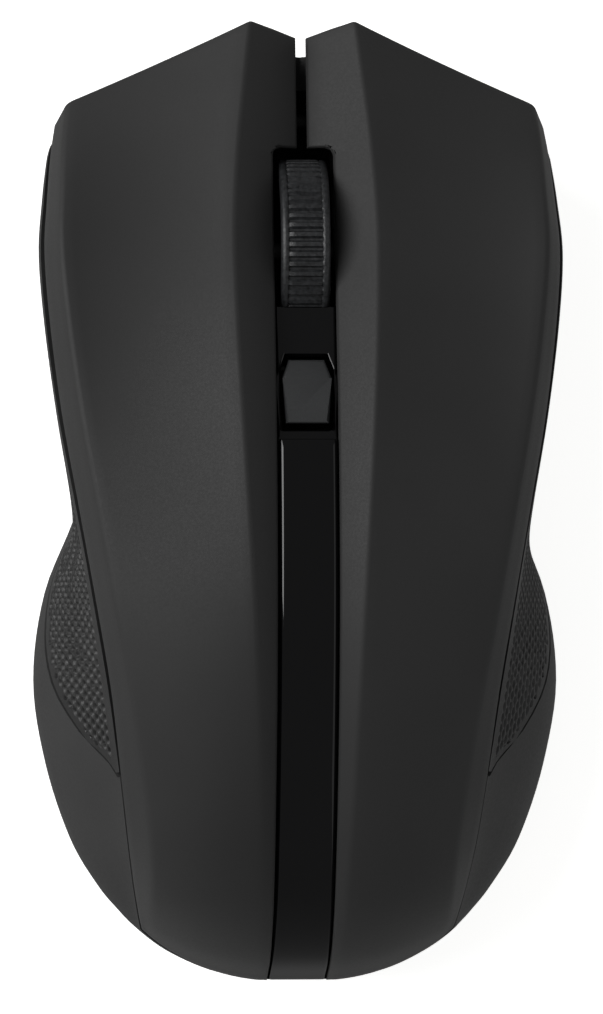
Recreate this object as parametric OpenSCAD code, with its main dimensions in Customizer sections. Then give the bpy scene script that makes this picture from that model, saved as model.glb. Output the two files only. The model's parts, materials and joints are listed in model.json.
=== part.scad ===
// Wireless optical mouse, built as an assembly of separate pieces.
// Nose at +Y, +X to the right, +Z up. The origin is on the desk, under the middle of the body.

/* [Body] */
// Length from nose to tail
body_len = 108; // [106:1:132]
// Width across the rear flare
body_w = 60; // [58:1:74]
// Height of the hump above the desk
body_h = 38; // [37:0.5:46]
// Wall of the two button covers
cover_t = 1.8; // [1.4:0.1:2.2]
// Wall of the side frame
frame_t = 2.2; // [1.8:0.1:2.6]
// Floor of the base
floor_t = 2; // [1.6:0.1:2.6]
// Gap along the seam under each cover, at the tail
seam_gap = 0.3; // [0.25:0.05:0.5]

/* [Buttons] */
// Travel of a button at the nose
click_travel = 0.6; // [0.3:0.05:0.8]
// Width of the slot between the two covers at the nose
nose_slot_w = 1.2; // [0.8:0.1:2]
// Steepness of the valley along the centre strip
valley_slope = 0.65; // [0.4:0.05:0.8]
// Length of the resolution button
dpi_len = 7; // [5:0.1:9]
// Width of the resolution button
dpi_w = 5.4; // [4:0.1:5.6]
// Travel of the resolution button
dpi_travel = 0.4; // [0.2:0.05:0.6]

/* [Wheel] */
// Outer radius of the tyre
wheel_r = 10.5; // [9:0.25:11]
// Width of the tyre
wheel_w = 5.4; // [4.6:0.1:6.6]
// Ribs on the tyre
rib_count = 60; // [40:4:80]
// Free space on each side of the tyre
wheel_gap = 0.7; // [0.5:0.1:1.2]
// How far the tyre stands above the valley
wheel_proud = 2.9; // [2:0.1:3.5]
// Tilt of the wheel when it is pressed, in degrees
wheel_press_deg = 2; // [1:0.25:2.5]

/* [Grips] */
// Thickness of the rubber side pads
grip_t = 1.2; // [0.8:0.1:1.3]

/* [Batteries] */
// Diameter of a cell
cell_d = 10.5; // [9.5:0.1:11]
// Length of a cell over its button
cell_len = 44.5; // [40:0.1:45]

/* [Electronics] */
// Thickness of the circuit board
board_t = 1.6; // [1:0.1:1.8]
// Height of the board's underside above the desk
board_z = 7.4; // [7:0.1:8]
// Height of a microswitch case
switch_h = 6.5; // [5:0.1:7.5]

/* [Hidden] */
$fn = 48;

// The stations below are drawn for this body, and follow the size that is set.
drawn_size = [60, 108, 38];
size_ratio = [body_w / drawn_size.x, body_len / drawn_size.y, body_h / drawn_size.z];
function sized(p) = [p.x * size_ratio.x, p.y * size_ratio.y, p.z * size_ratio.z];

// Heights and clearances that several pieces share.
fit = 0.05;
touch = 0.05;
seat_gap = 0.02;
side_gap = 0.25;
foot_proud = 0.6;
floor_top = foot_proud + floor_t;
board_top = board_z + board_t;
flare_z = 8;
rim_inset = 0.7;
nose_y = body_len / 2;
tail_y = -body_len / 2;

// Stations of one cover from nose to tail: ridge, middle of the scoop, outer crease, outer edge.
cover_rows = [
    [[5.8, 54, 23], [16, 49.4, 20.8], [26.2, 45, 20], [27.6, 42.6, 16.8]],
    [[6.6, 47, 25], [17, 44, 22.8], [26.7, 40.5, 22.6], [28.1, 39, 18.4]],
    [[7.4, 39.5, 27.2], [17.2, 37.2, 25.2], [26.9, 35, 25.8], [28.5, 34, 21.2]],
    [[7.9, 30.5, 30], [17.4, 29.5, 27.9], [27, 28.5, 28.6], [28.8, 28, 23.8]],
    [[7.7, 20.5, 33.4], [17, 20.2, 30.6], [26.2, 20, 30.4], [28.2, 20, 25.6]],
    [[7.2, 10, 36.2], [15.9, 10, 33.1], [24.8, 10, 31.9], [26.9, 10, 27]],
    [[6.6, 0, 37.7], [14.6, 0, 35], [23, 0, 33], [25.1, 0, 28.4]],
    [[6, -10, 38], [13.5, -10, 36.1], [21.2, -10, 33.6], [23.3, -10, 29.5]],
    [[5.5, -20, 36.8], [12.4, -20, 35.6], [19.4, -20, 32.9], [21.6, -20, 29.4]],
    [[5.1, -30, 34.3], [11.6, -30, 33.4], [17.9, -30, 30.6], [20.4, -30, 27]],
    [[4.8, -38, 31.3], [11, -38, 30.6], [17, -38, 27.6], [19.5, -37.5, 23.4]],
    [[4.5, -45, 27.3], [10.7, -44.8, 26.3], [16.8, -43.6, 23], [18.8, -42.5, 19]],
    [[4.3, -50.6, 20.8], [10.7, -49.6, 19.8], [16.8, -47, 17.6], [18.2, -46, 15.4]],
    [[4.2, -54, 12], [10.6, -52.5, 12.2], [16.4, -49.2, 12.8], [17.8, -48, 13.2]]];
last_row = len(cover_rows) - 1;

// Stations of the side wall: widest line, and how far the wall bulges, tucks in and is grip.
flare_rows = [
    [[25.4, 38.5, flare_z], [1.4, 0, 0.62]],
    [[25.6, 33.5, flare_z], [2, 0, 0.74]],
    [[25.2, 28, flare_z], [2.4, 0.3, 0.8]],
    [[24.4, 20, flare_z], [2.4, 0.5, 0.84]],
    [[23.8, 10, flare_z], [2.2, 0.8, 0.86]],
    [[24.8, 0, flare_z], [2, 0.8, 0.86]],
    [[28.6, -10, flare_z], [2, 0.6, 0.83]],
    [[29.9, -20, flare_z], [3.2, 0.4, 0.61]],
    [[28.5, -29.5, flare_z], [2.6, 0.3, 0.14]],
    [[25.7, -38, flare_z], [1.6, 0.2, 0.05]],
    [[22.6, -43.3, flare_z], [1, 0.1, 0.05]],
    [[20.2, -46.2, flare_z], [0.6, 0, 0.05]],
    [[18.6, -47.8, flare_z], [0.3, 0, 0.05]]];
front_rows = [
    [[0, 50.4, 17.2], [0, 50.4, flare_z], [0, 0, 0.05]],
    [[6.4, 50.4, 21], [6, 50.3, flare_z], [0, 0, 0.05]],
    [[15, 47.3, 18.8], [14.4, 47.1, flare_z], [0.2, 0, 0.05]],
    [[22.4, 43.8, 18.4], [21, 43.6, flare_z], [0.4, 0, 0.05]],
    [[27, 41.2, 17], [24.4, 41, flare_z], [0.8, 0, 0.3]]];
no_grip = 0.05;
side_divide = 3;
grip_front_u = 4 + 1 / side_divide;
grip_rear_u = 13;

// A smooth curve through the stations. Stations can be points or lists of points.
function curve(a, b, c, d, t) =
    0.5 * (2 * b + (c - a) * t + (2 * a - 5 * b + 4 * c - d) * t * t
        + (3 * b - a - 3 * c + d) * t * t * t);
function row_at(rows, u) =
    let (n = len(rows) - 1, i = max(0, min(floor(u), n - 1)))
    curve(i > 0 ? rows[i - 1] : 2 * rows[0] - rows[1], rows[i], rows[i + 1],
        i + 2 <= n ? rows[i + 2] : 2 * rows[n] - rows[n - 1], u - i);
function unit(v) = norm(v) < 1e-9 ? [0, 0, 1] : v / norm(v);
function flat(v) = unit([v.x, v.y, 0]);

// Wheel, slot and valley. The inner edge of a cover is set by the wheel, and by the nose slot before it.
wheel_y = nose_y - 25.9 * size_ratio.y;
slot_half = wheel_w / 2 + wheel_gap;
slot_front_y = wheel_y + wheel_r + 1.2;
nose_sweep = [1.7, 0.4, 0];
function cover_u(y) = lookup(-y, [for (i = [0:last_row]) [-cover_rows[i][0].y * size_ratio.y, i]]);
slot_u = cover_u(slot_front_y);
function inner_x(u) = u < slot_u - 0.01 ? nose_slot_w / 2 : slot_half;
function sweep_at(u) = u >= 2 ? 0 : lookup(u, [for (i = [0:2]) [i, nose_sweep[i]]]);
function cover_point(u, v) =
    let (row = row_at(cover_rows, u), ridge = sized(row[0]), mid = sized(row[1]),
        crease = sized(row[2]), edge = sized(row[3]), x = inner_x(u), q = v - 1,
        inner = [x, ridge.y - sweep_at(u), ridge.z - valley_slope * (ridge.x - x)])
    v <= 1 ? inner + (ridge - inner) * v
    : v <= 2 ? ridge * (1 - q) * (1 - 2 * q) + mid * 4 * q * (1 - q) + crease * q * (2 * q - 1)
    : crease + (edge - crease) * (v - 2);
function valley_z(y) =
    let (ridge = sized(row_at(cover_rows, cover_u(y))[0]))
    ridge.z - valley_slope * (ridge.x - slot_half);
// Height of a cover's top at a place between its ridge and its crease.
function cover_top(x, y) =
    let (u = cover_u(y), a = cover_point(u, 1), b = cover_point(u, 2))
    cover_point(u, 1 + max(0, min(1, (x - a.x) / (b.x - a.x)))).z;
wheel_z = valley_z(wheel_y) + wheel_proud - wheel_r;

// Buttons turn about a line near the tail. The seam opens towards the nose to give them room.
hinge_y = tail_y + 6.8 * size_ratio.y;
hinge_z = 16 * size_ratio.z;
click_rad = click_travel / (nose_y - hinge_y);
function seam_at(y) = seam_gap + click_rad * max(0, y - hinge_y);

// The side wall passes under the end of the strip at the tail.
tail_edge_z = min(10.6, valley_z(tail_y) / size_ratio.z - 0.85);
tail_rows = [
    [[14.4, -50.6, 12.6], [15, -50.6, flare_z], [0.2, 0, 0.05]],
    [[10, -52.7, 12.2], [10.3, -52.7, flare_z], [0.1, 0, 0.05]],
    [[5, -53.8, tail_edge_z + 0.8], [5.2, -53.85, flare_z], [0, 0, 0.05]],
    [[0, -54, tail_edge_z], [0, -54, flare_z], [0, 0, 0.05]]];
side_rows = concat(front_rows,
    [for (i = [1:last_row]) [cover_rows[i][3], flare_rows[i - 1][0], flare_rows[i - 1][1]]],
    tail_rows);
last_side = len(side_rows) - 1;
corner_u = len(front_rows) - 1;
rear_corner_u = corner_u + last_row;

// Side wall: u runs from the nose round the right side to the tail, v from seam to flare to base.
frame_bottom = 4.4;
function side_out(u) =
    let (a = row_at(side_rows, max(0, u - 0.1))[1], b = row_at(side_rows, min(last_side, u + 0.1))[1],
        t = [(b.x - a.x) * size_ratio.x, (b.y - a.y) * size_ratio.y])
    u < 0.05 ? [0, 1, 0] : u > last_side - 0.05 ? [0, -1, 0] : unit([-t.y, t.x, 0]);
// The seam follows the edge of the cover as far as the rear corner.
function seam_edge(u) = u > corner_u + 0.99 && u < rear_corner_u + 0.01
    ? row_at(cover_rows, u - corner_u)[3] : row_at(side_rows, u)[0];
function side_point(u, v) =
    let (row = row_at(side_rows, u), edge = sized(seam_edge(u)), low = sized(row[1]), n = side_out(u),
        top = edge - [0, 0, seam_at(edge.y)], h = top.z - low.z,
        a = top + n * row[2][0] - [0, 0, 0.35 * h], b = low - n * row[2][1] + [0, 0, 0.45 * h],
        w = v - 1, s = 1 - v)
    v <= 1 ? top * s * s * s + a * 3 * s * s * v + b * 3 * s * v * v + low * v * v * v
    : low - n * 0.5 * w * w - [0, 0, (low.z - frame_bottom) * w];
function grip_v(u) = max(no_grip, row_at(side_rows, u)[2][2]);
function in_grip(u) = u > grip_front_u - 0.01 && u < grip_rear_u + 0.01;

// Shells. A grid of outer points gets an inner copy at a wall's depth, and the two are closed.
function grid_normal(g, i, j, ring) =
    let (n = len(g), m = len(g[0]) - 1, i0 = ring ? (i + n - 1) % n : max(0, i - 1),
        i1 = ring ? (i + 1) % n : min(n - 1, i + 1))
    unit(cross(g[i1][j] - g[i0][j], g[i][min(m, j + 1)] - g[i][max(0, j - 1)]));
module shell(outer, inner, ring = false) {
    n = len(outer);
    m = len(outer[0]);
    total = n * m;
    steps = ring ? n : n - 1;
    function at(i, j) = (i % n) * m + j;
    skin = [for (i = [0:steps - 1], j = [0:m - 2])
        let (a = at(i, j), b = at(i + 1, j), c = at(i + 1, j + 1), d = at(i, j + 1))
        each [[a, d, c], [a, c, b], [a + total, b + total, c + total], [a + total, c + total, d + total]]];
    sides = [for (i = [0:steps - 1])
        let (a = at(i, 0), b = at(i + 1, 0), c = at(i + 1, m - 1), d = at(i, m - 1))
        each [[a, b, b + total], [a, b + total, a + total], [c, d, d + total], [c, d + total, c + total]]];
    ends = ring ? [] : [for (j = [0:m - 2])
        let (a = at(0, j), d = at(0, j + 1), b = at(n - 1, j), c = at(n - 1, j + 1))
        each [[d, a, a + total], [d, a + total, d + total], [b, c, c + total], [b, c + total, b + total]]];
    polyhedron([for (g = [outer, inner], row = g, p = row) p], concat(skin, sides, ends));
}
module both_sides(x) {
    translate([x, 0, 0]) children();
    translate([-x, 0, 0]) children();
}
module slab(size, at) {
    translate([at.x - size.x / 2, at.y - size.y / 2, at.z]) cube(size);
}
module post(r, z0, z1, at) {
    translate([at.x, at.y, z0]) cylinder(r = r, h = z1 - z0);
}
module stadium(length, width, height) {
    half = (length - width) / 2;
    for (s = [-1, 1]) translate([s * half, 0, 0]) cylinder(d = width, h = height);
    translate([-half, -width / 2, 0]) cube([2 * half, width, height]);
}
// A wire of round section along a list of points.
module wire(points, d, sides = 6) {
    n = len(points);
    function along(i) = unit(points[min(n - 1, i + 1)] - points[max(0, i - 1)]);
    rings = [for (i = [0:n - 1])
        let (t = along(i), a = unit(cross(t, abs(t.z) > 0.9 ? [1, 0, 0] : [0, 0, 1])), b = cross(t, a))
        for (k = [0:sides - 1]) points[i] + d / 2 * (cos(360 * k / sides) * a + sin(360 * k / sides) * b)];
    walls = [for (i = [0:n - 2], k = [0:sides - 1])
        let (p = i * sides + k, q = i * sides + (k + 1) % sides)
        each [[p, p + sides, q + sides], [p, q + sides, q]]];
    first = [[for (k = [0:sides - 1]) k]];
    last = [[for (k = [0:sides - 1]) n * sides - 1 - k]];
    polyhedron(rings, concat(walls, first, last));
}
function coil(r, turns, height, steps = 12) = [for (i = [0:turns * steps])
    let (a = 360 * i / steps) [r * cos(a), r * sin(a), height * i / (turns * steps)]];

// Covers and the strip between them.
cover_steps = concat([for (i = [0:2:11]) i / 6], [slot_u - 0.08, slot_u],
    [for (i = [1:3 * (last_row - 2) - 1]) if (2 + i / 3 > slot_u + 0.1) 2 + i / 3], [last_row]);
cover_columns = [0, 0.5, 1, 1.2, 1.4, 1.6, 1.8, 2, 2.5, 3];
cover_grid = [for (u = cover_steps) [for (v = cover_columns) cover_point(u, v)]];
cover_inner = [for (i = [0:len(cover_grid) - 1]) [for (j = [0:len(cover_columns) - 1])
    let (n = grid_normal(cover_grid, i, j, false),
        level = j == len(cover_columns) - 1 || i == len(cover_grid) - 1)
    j == 0 ? cover_grid[i][j] - [0, 0, cover_t] + (level ? [0, cover_t, cover_t] : [0, 0, 0])
    : cover_grid[i][j] - cover_t * (level ? flat(n) : n)]];
module button_cover() {
    color("#303133") shell(cover_grid, cover_inner);
}

strip_t = 1.5;
strip_sink = 0.25;
strip_half = slot_half - side_gap;
dpi_y = wheel_y - 15.7;
strip_front_y = dpi_y - dpi_len / 2 - 1.6;
strip_front_u = cover_u(strip_front_y);
strip_steps = [for (i = [0:24]) strip_front_u + (last_row - strip_front_u) * i / 24];
strip_columns = [[-1, 0.35], [-0.88, 0], [0.88, 0], [1, 0.35]];
function strip_point(u, c) =
    let (p = cover_point(max(u, slot_u), 0)) [c[0] * strip_half, p.y, p.z - strip_sink - c[1]];
strip_grid = [for (u = strip_steps) [for (c = strip_columns) strip_point(u, c)]];
strip_inner = [for (i = [0:len(strip_grid) - 1]) [for (j = [0:3])
    let (a = strip_grid[max(0, i - 1)][j], b = strip_grid[min(len(strip_grid) - 1, i + 1)][j],
        n = unit([0, b.z - a.z, a.y - b.y]))
    i == len(strip_grid) - 1 ? [strip_grid[i][j].x, strip_grid[i][j].y + strip_t, strip_grid[i][j].z]
    : [strip_grid[i][j].x, strip_grid[i][j].y, strip_grid[i][1].z] - strip_t * n]];
module centre_strip() {
    color("#0c0c0d") shell(strip_grid, strip_inner);
}

// Bezel of the resolution button: a plate from the strip to the wheel, sloped like the valley.
wheel_room = wheel_r + 0.6;
bezel_front_y = wheel_y - 6.2;
bezel_rear_y = strip_front_y + 0.05;
bezel_sink = 1.3;
bezel_t = 1.2;
bezel_tilt = atan2(valley_z(bezel_rear_y) - valley_z(bezel_front_y), bezel_front_y - bezel_rear_y);
function bezel_z(y) =
    valley_z(bezel_front_y) - bezel_sink + (bezel_front_y - y) * tan(bezel_tilt);
// A plate in the bezel's slope, from y0 to y1, with its top sunk below the bezel's top.
module sloped_plate(half, y0, y1, sink, t) {
    run = (y1 - y0) / cos(bezel_tilt);
    translate([0, y1, bezel_z(y1)]) rotate([-bezel_tilt, 0, 0])
        translate([-half, -run, -sink - t]) cube([2 * half, run, t]);
}
dpi_gap = 0.4;
// Outline of the resolution button: a narrow front, widest near it, and a slightly narrow rear.
function dpi_outline(grow) =
    let (w = dpi_w / 2 + grow, f = dpi_len / 2 + grow)
    [[-0.72 * w, f], [-w, f * 0.42], [-0.87 * w, -f], [0.87 * w, -f], [w, f * 0.42], [0.72 * w, f]];
module dpi_prism(grow, z0, z1) {
    translate([0, dpi_y, z0]) linear_extrude(z1 - z0) polygon(dpi_outline(grow));
}
module dpi_bezel() {
    color("#101011") difference() {
        sloped_plate(strip_half, bezel_rear_y, bezel_front_y, 0, bezel_t);
        dpi_prism(dpi_gap, bezel_z(bezel_front_y) - 5, bezel_z(bezel_rear_y) + 5);
        along_x(-10, 10) circle(r = wheel_room);
    }
}
dpi_switch_h = 3.6;
dpi_plunger_h = 0.9;
dpi_plunger_top = board_top + dpi_switch_h + dpi_plunger_h;
module dpi_button() {
    low = bezel_z(dpi_y + dpi_len / 2) - bezel_t - 1.3;
    high = bezel_z(dpi_y) + 1.1;
    color("#333436") {
        intersection() {
            dpi_prism(0, low, high + 3);
            translate([0, dpi_y, high]) rotate([-bezel_tilt, 0, 0])
                translate([-dpi_w, -2 * dpi_len, -10]) cube([2 * dpi_w, 4 * dpi_len, 10]);
        }
        dpi_prism(0.9, low - 0.8, low);
        post(1.2, dpi_plunger_top + touch, low - 0.4, [0, dpi_y]);
    }
}

// Spine: carries the strip, ties the covers' hinge line to the base, and is screwed down.
spine_half = 4.6;
spine_t = 2.6;
spine_rear_y = tail_y + 7 * size_ratio.y;
spine_front_y = strip_front_y - 0.6;
deck_half = 6.6;
column_r = 2.8;
cell_r = cell_d / 2;
cell_x = cell_r + 0.5;
spring_room = 2.2;
bay_wall = 1;
bay_half = cell_x + cell_r + 0.6;
bay_middle_y = -25.55 * size_ratio.y;
bay_tail_y = max(bay_middle_y - (cell_len + spring_room) / 2, tail_y + 5.1);
bay_nose_y = bay_tail_y + cell_len + spring_room;
column_x = bay_half + bay_wall + column_r + 1.3;
column_y = bay_nose_y - 2.5;
boss_top = floor_top + 2;
arm_top = cover_top(column_x, column_y) - cover_t - 3;
// The steeper the tail, the more room the strip's wall takes upright.
strip_upright = 1.25 * max(1, size_ratio.z / size_ratio.y);
function strip_under(y) = valley_z(y) - strip_sink - strip_t * strip_upright;
module spine_rail(half, gap) {
    steps = 14;
    ys = [for (i = [0:steps]) spine_rear_y + (spine_front_y - spine_rear_y) * i / steps];
    translate([-half, 0, 0]) rotate([90, 0, 90]) linear_extrude(2 * half)
        polygon(concat([for (y = ys) [y, strip_under(y) - gap]],
            [for (i = [steps:-1:0]) [ys[i], strip_under(ys[i]) - gap - spine_t]]));
}
module spine_frame() {
    rail_half = 2.2;
    color("#1b1b1c") difference() {
        union() {
            spine_rail(spine_half, 1.3);
            spine_rail(rail_half, 0.2);
            sloped_plate(deck_half, spine_front_y - 3, bezel_front_y, bezel_t + 0.1, 2);
            slab([2 * column_x, 4, 3.5], [0, column_y, arm_top - 3.5]);
            slab([6, 4, strip_under(column_y) - 2 - arm_top + 3.5], [0, column_y, arm_top - 3.5]);
            both_sides(column_x) post(column_r, boss_top + 0.1, arm_top, [0, column_y]);
            both_sides(ear_x) {
                slab([ear_t, 4.4, 4.4], [0, hinge_y, hinge_z - 2.2]);
                slab([ear_t, 2.2, strip_under(spine_rear_y) - 3 - hinge_z], [0, hinge_y + 1.1, hinge_z]);
            }
        }
        both_sides(column_x) post(1.1, boss_top - 1, boss_top + 9, [0, column_y]);
        pin_bore(pin_r);
        dpi_prism(1.5, bezel_z(bezel_front_y) - 9, bezel_z(bezel_rear_y) + 5);
        along_x(-10, 10) circle(r = wheel_room + 0.4);
    }
}

// Hinge of the covers: one pin through two ears of the spine, and a barrel under each cover.
pin_r = 1;
ear_x = 3;
ear_t = 1.6;
barrel_x0 = ear_x + ear_t / 2 + 0.3;
barrel_x1 = 11;
barrel_r = 2;
module pin_bore(r) {
    translate([-barrel_x1 - 1, hinge_y, hinge_z]) rotate([0, 90, 0]) cylinder(r = r, h = 2 * barrel_x1 + 2);
}
module hinge_pin() {
    color("#a9abae") translate([-barrel_x1 + 0.5, hinge_y, hinge_z]) rotate([0, 90, 0])
        cylinder(r = pin_r, h = 2 * barrel_x1 - 1);
}
module hinge_arm() {
    x = (barrel_x0 + barrel_x1) / 2;
    roof = cover_top(x + 2.7, hinge_y + 1.4) - 1.5 * cover_t;
    color("#202021") difference() {
        union() {
            translate([barrel_x0, hinge_y, hinge_z]) rotate([0, 90, 0])
                cylinder(r = barrel_r, h = barrel_x1 - barrel_x0);
            for (rib_x = [x - 2.5, x + 1.5])
                translate([rib_x, hinge_y + 1.4, hinge_z - 1]) cube([1.2, 3.6, roof - hinge_z + 1.5]);
            translate([x - 2.5, hinge_y, hinge_z - 1]) cube([5.2, 2.6, 2]);
        }
        pin_bore(pin_r + fit);
    }
}

// Side frame and the two rubber pads let into it.
grip_recess = grip_t + 0.15;
side_steps = [for (i = [0:side_divide * last_side]) i / side_divide];
function grip_column(u, w) = grip_v(u) * w;
function below_column(u, w) = grip_v(u) + (1 - grip_v(u)) * w;
upper_w = [0, 0.25, 0.5, 0.75, 1];
lower_w = [0, 0.35, 0.7, 1];
lip_h = 0.7;
lip_t = 0.8;
lip_in = cover_t + 1.2;
function side_normal(u, v) =
    u < 0.05 || u > last_side - 0.05 ? side_out(u)
    : unit(cross(side_point(u + 0.05, v) - side_point(u - 0.05, v),
        side_point(u, min(2, v + 0.04)) - side_point(u, max(0, v - 0.04))));
function sunk(u) = in_grip(u) ? grip_recess : 0;
// A lip behind the seam closes the view into the body. At the tail it slopes down under the covers' corner.
lip_end_u = 16;
function lip_rise(u) = lookup(u, [[lip_end_u - 1, lip_h], [lip_end_u, -2.2 * size_ratio.z]]);
function lip_point(u, depth, rise) =
    side_point(u, 0) - depth * flat(side_normal(u, 0)) + [0, 0, rise];
function frame_outer(u) = concat(
    [lip_point(u, lip_in, lip_rise(u)), lip_point(u, lip_in, min(0, lip_rise(u)) - 0.01)],
    [for (w = upper_w) side_point(u, grip_column(u, w)) - sunk(u) * side_normal(u, grip_column(u, w))],
    [for (w = lower_w) side_point(u, below_column(u, w) + (w == 0 ? 0.012 : 0))],
    [for (w = [1.5, 2]) side_point(u, w)]);
function frame_inner(u) = concat(
    [lip_point(u, lip_in + lip_t, lip_rise(u)), lip_point(u, lip_in + lip_t, min(0, lip_rise(u)) - 0.01),
        lip_point(u, lip_in + lip_t, min(0, lip_rise(u)) - 0.9)],
    [for (w = [for (i = [1:len(upper_w) - 1]) upper_w[i]])
        side_point(u, grip_column(u, w)) - frame_t * side_normal(u, grip_column(u, w))],
    [for (w = lower_w)
        let (v = below_column(u, w) + (w == 0 ? 0.012 : 0)) side_point(u, v) - frame_t * side_normal(u, v)],
    [for (w = [1.5, 2]) side_point(u, w) - frame_t * side_out(u)]);
function mirrored(row) = [for (p = row) [-p.x, p.y, p.z]];
function closed_round(half) = concat(half, [for (i = [len(half) - 2:-1:1]) mirrored(half[i])]);
module side_frame() {
    color("#2c2d2f") shell(closed_round([for (u = side_steps) frame_outer(u)]),
        closed_round([for (u = side_steps) frame_inner(u)]), true);
}
grip_end = 0.06;
grip_steps = concat([grip_front_u + grip_end], [for (u = side_steps)
    if (u > grip_front_u + 0.1 && u < grip_rear_u - 0.1) u], [grip_rear_u - grip_end]);
grip_columns = [for (w = upper_w) max(0.04, min(0.96, w))];
module side_grip() {
    color("#1d1e1f") shell(
        [for (u = grip_steps) [for (w = grip_columns) side_point(u, grip_column(u, w))]],
        [for (u = grip_steps) [for (w = grip_columns)
            side_point(u, grip_column(u, w)) - grip_t * side_normal(u, grip_column(u, w))]]);
}

// Base: a floor with a rim that the side frame stands over.
function flare_line(inset) =
    let (half = [for (i = [0:2 * last_side])
        let (u = i / 2, p = sized(row_at(side_rows, u)[1]), n = side_out(u))
        [p.x - n.x * inset, p.y - n.y * inset]])
    concat(half, [for (i = [len(half) - 2:-1:1]) [-half[i].x, half[i].y]]);
// The deep outline leaves out the tight corner beside the nose.
deep_steps = [for (i = [0:2 * last_side]) if (abs(i / 2 - corner_u) > 0.6) i / 2];
function deep_line(inset) =
    let (half = [for (u = deep_steps) let (p = sized(row_at(side_rows, u)[1]), n = side_out(u))
        [p.x - n.x * inset, p.y - n.y * inset]])
    concat(half, [for (i = [len(half) - 2:-1:1]) [-half[i].x, half[i].y]]);
module deep_prism(inset, z0, z1) {
    translate([0, 0, z0]) linear_extrude(z1 - z0) polygon(deep_line(inset));
}
module flare_prism(inset, z0, z1) {
    translate([0, 0, z0]) linear_extrude(z1 - z0) polygon(flare_line(inset));
}
frame_inset = frame_t + 0.5;
base_top = frame_bottom - 0.2;
rim_top = 6.4;
rim_t = 1.3;

// Battery bay and its door.
cell_z = floor_top + cell_r;
bay_wall_z = floor_top + 5.8;
door_t = 1.5;
door_gap = 0.2;
door_half = bay_half + 1.4;
door_hinge_y = bay_nose_y + 0.2;
door_tail_y = bay_tail_y - 0.9;
door_z = foot_proud + door_t / 2 + 0.05;
door_corner = 3.5;
plug_size = [4.5, 12, 13];
receiver_cap = [6.6, 14.6, 5.4];
module door_plate(grow, z0, z1) {
    tail = door_tail_y - grow;
    half = door_half + grow;
    r = door_corner + grow;
    translate([0, 0, z0]) {
        for (s = [-1, 1]) translate([s * (half - r), tail + r, 0]) cylinder(r = r, h = z1 - z0);
        translate([-half + r, tail, 0]) cube([2 * (half - r), r + 1, z1 - z0]);
        translate([-half, tail + r, 0]) cube([2 * half, door_hinge_y - tail - r, z1 - z0]);
    }
}
module door_knuckle(r, half) {
    translate([-half, door_hinge_y, door_z]) rotate([0, 90, 0]) cylinder(r = r, h = 2 * half);
}
module battery_door() {
    color("#1a1a1b") union() {
        door_plate(0, foot_proud + 0.05, foot_proud + 0.05 + door_t);
        door_knuckle(door_t / 2, door_half);
    }
}

// Places on the base and the board.
sensor_y = min(bay_nose_y + 6.9, dpi_y - 6.9);
main_switch_x = 12.5;
main_plunger_y = wheel_y + 12.1 * min(1, size_ratio.y);
switch_w = 5.8;
switch_len = 12.8;
plunger_h = 0.8;
plunger_top = board_top + switch_h + plunger_h;
wheel_plunger_y = wheel_y - 1.9;
wheel_lug_x = 9.6;
pivot_y = wheel_y + 15.2;
pivot_z = board_top + 4;
pivot_r = 1.5;
pivot_post_x = 6.5;
pivot_post_t = 1.8;
power_x = 13;
power_y = sensor_y + 8;
power_travel = 2.5;
receiver_x = -(door_half + door_gap + 0.8 + receiver_cap.x / 2 + 0.25);
receiver_y = -19 * size_ratio.y;
foot_places = [[15, nose_y - 15 * size_ratio.y, -28], [19.8, tail_y + 17.5 * size_ratio.y, 62]];
foot_len = 12;
foot_w = 4.6;
foot_recess = 0.4;
board_screw_x = 16;
board_screw_y = wheel_y - 3;
board_boss_r = 2.4;

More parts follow.
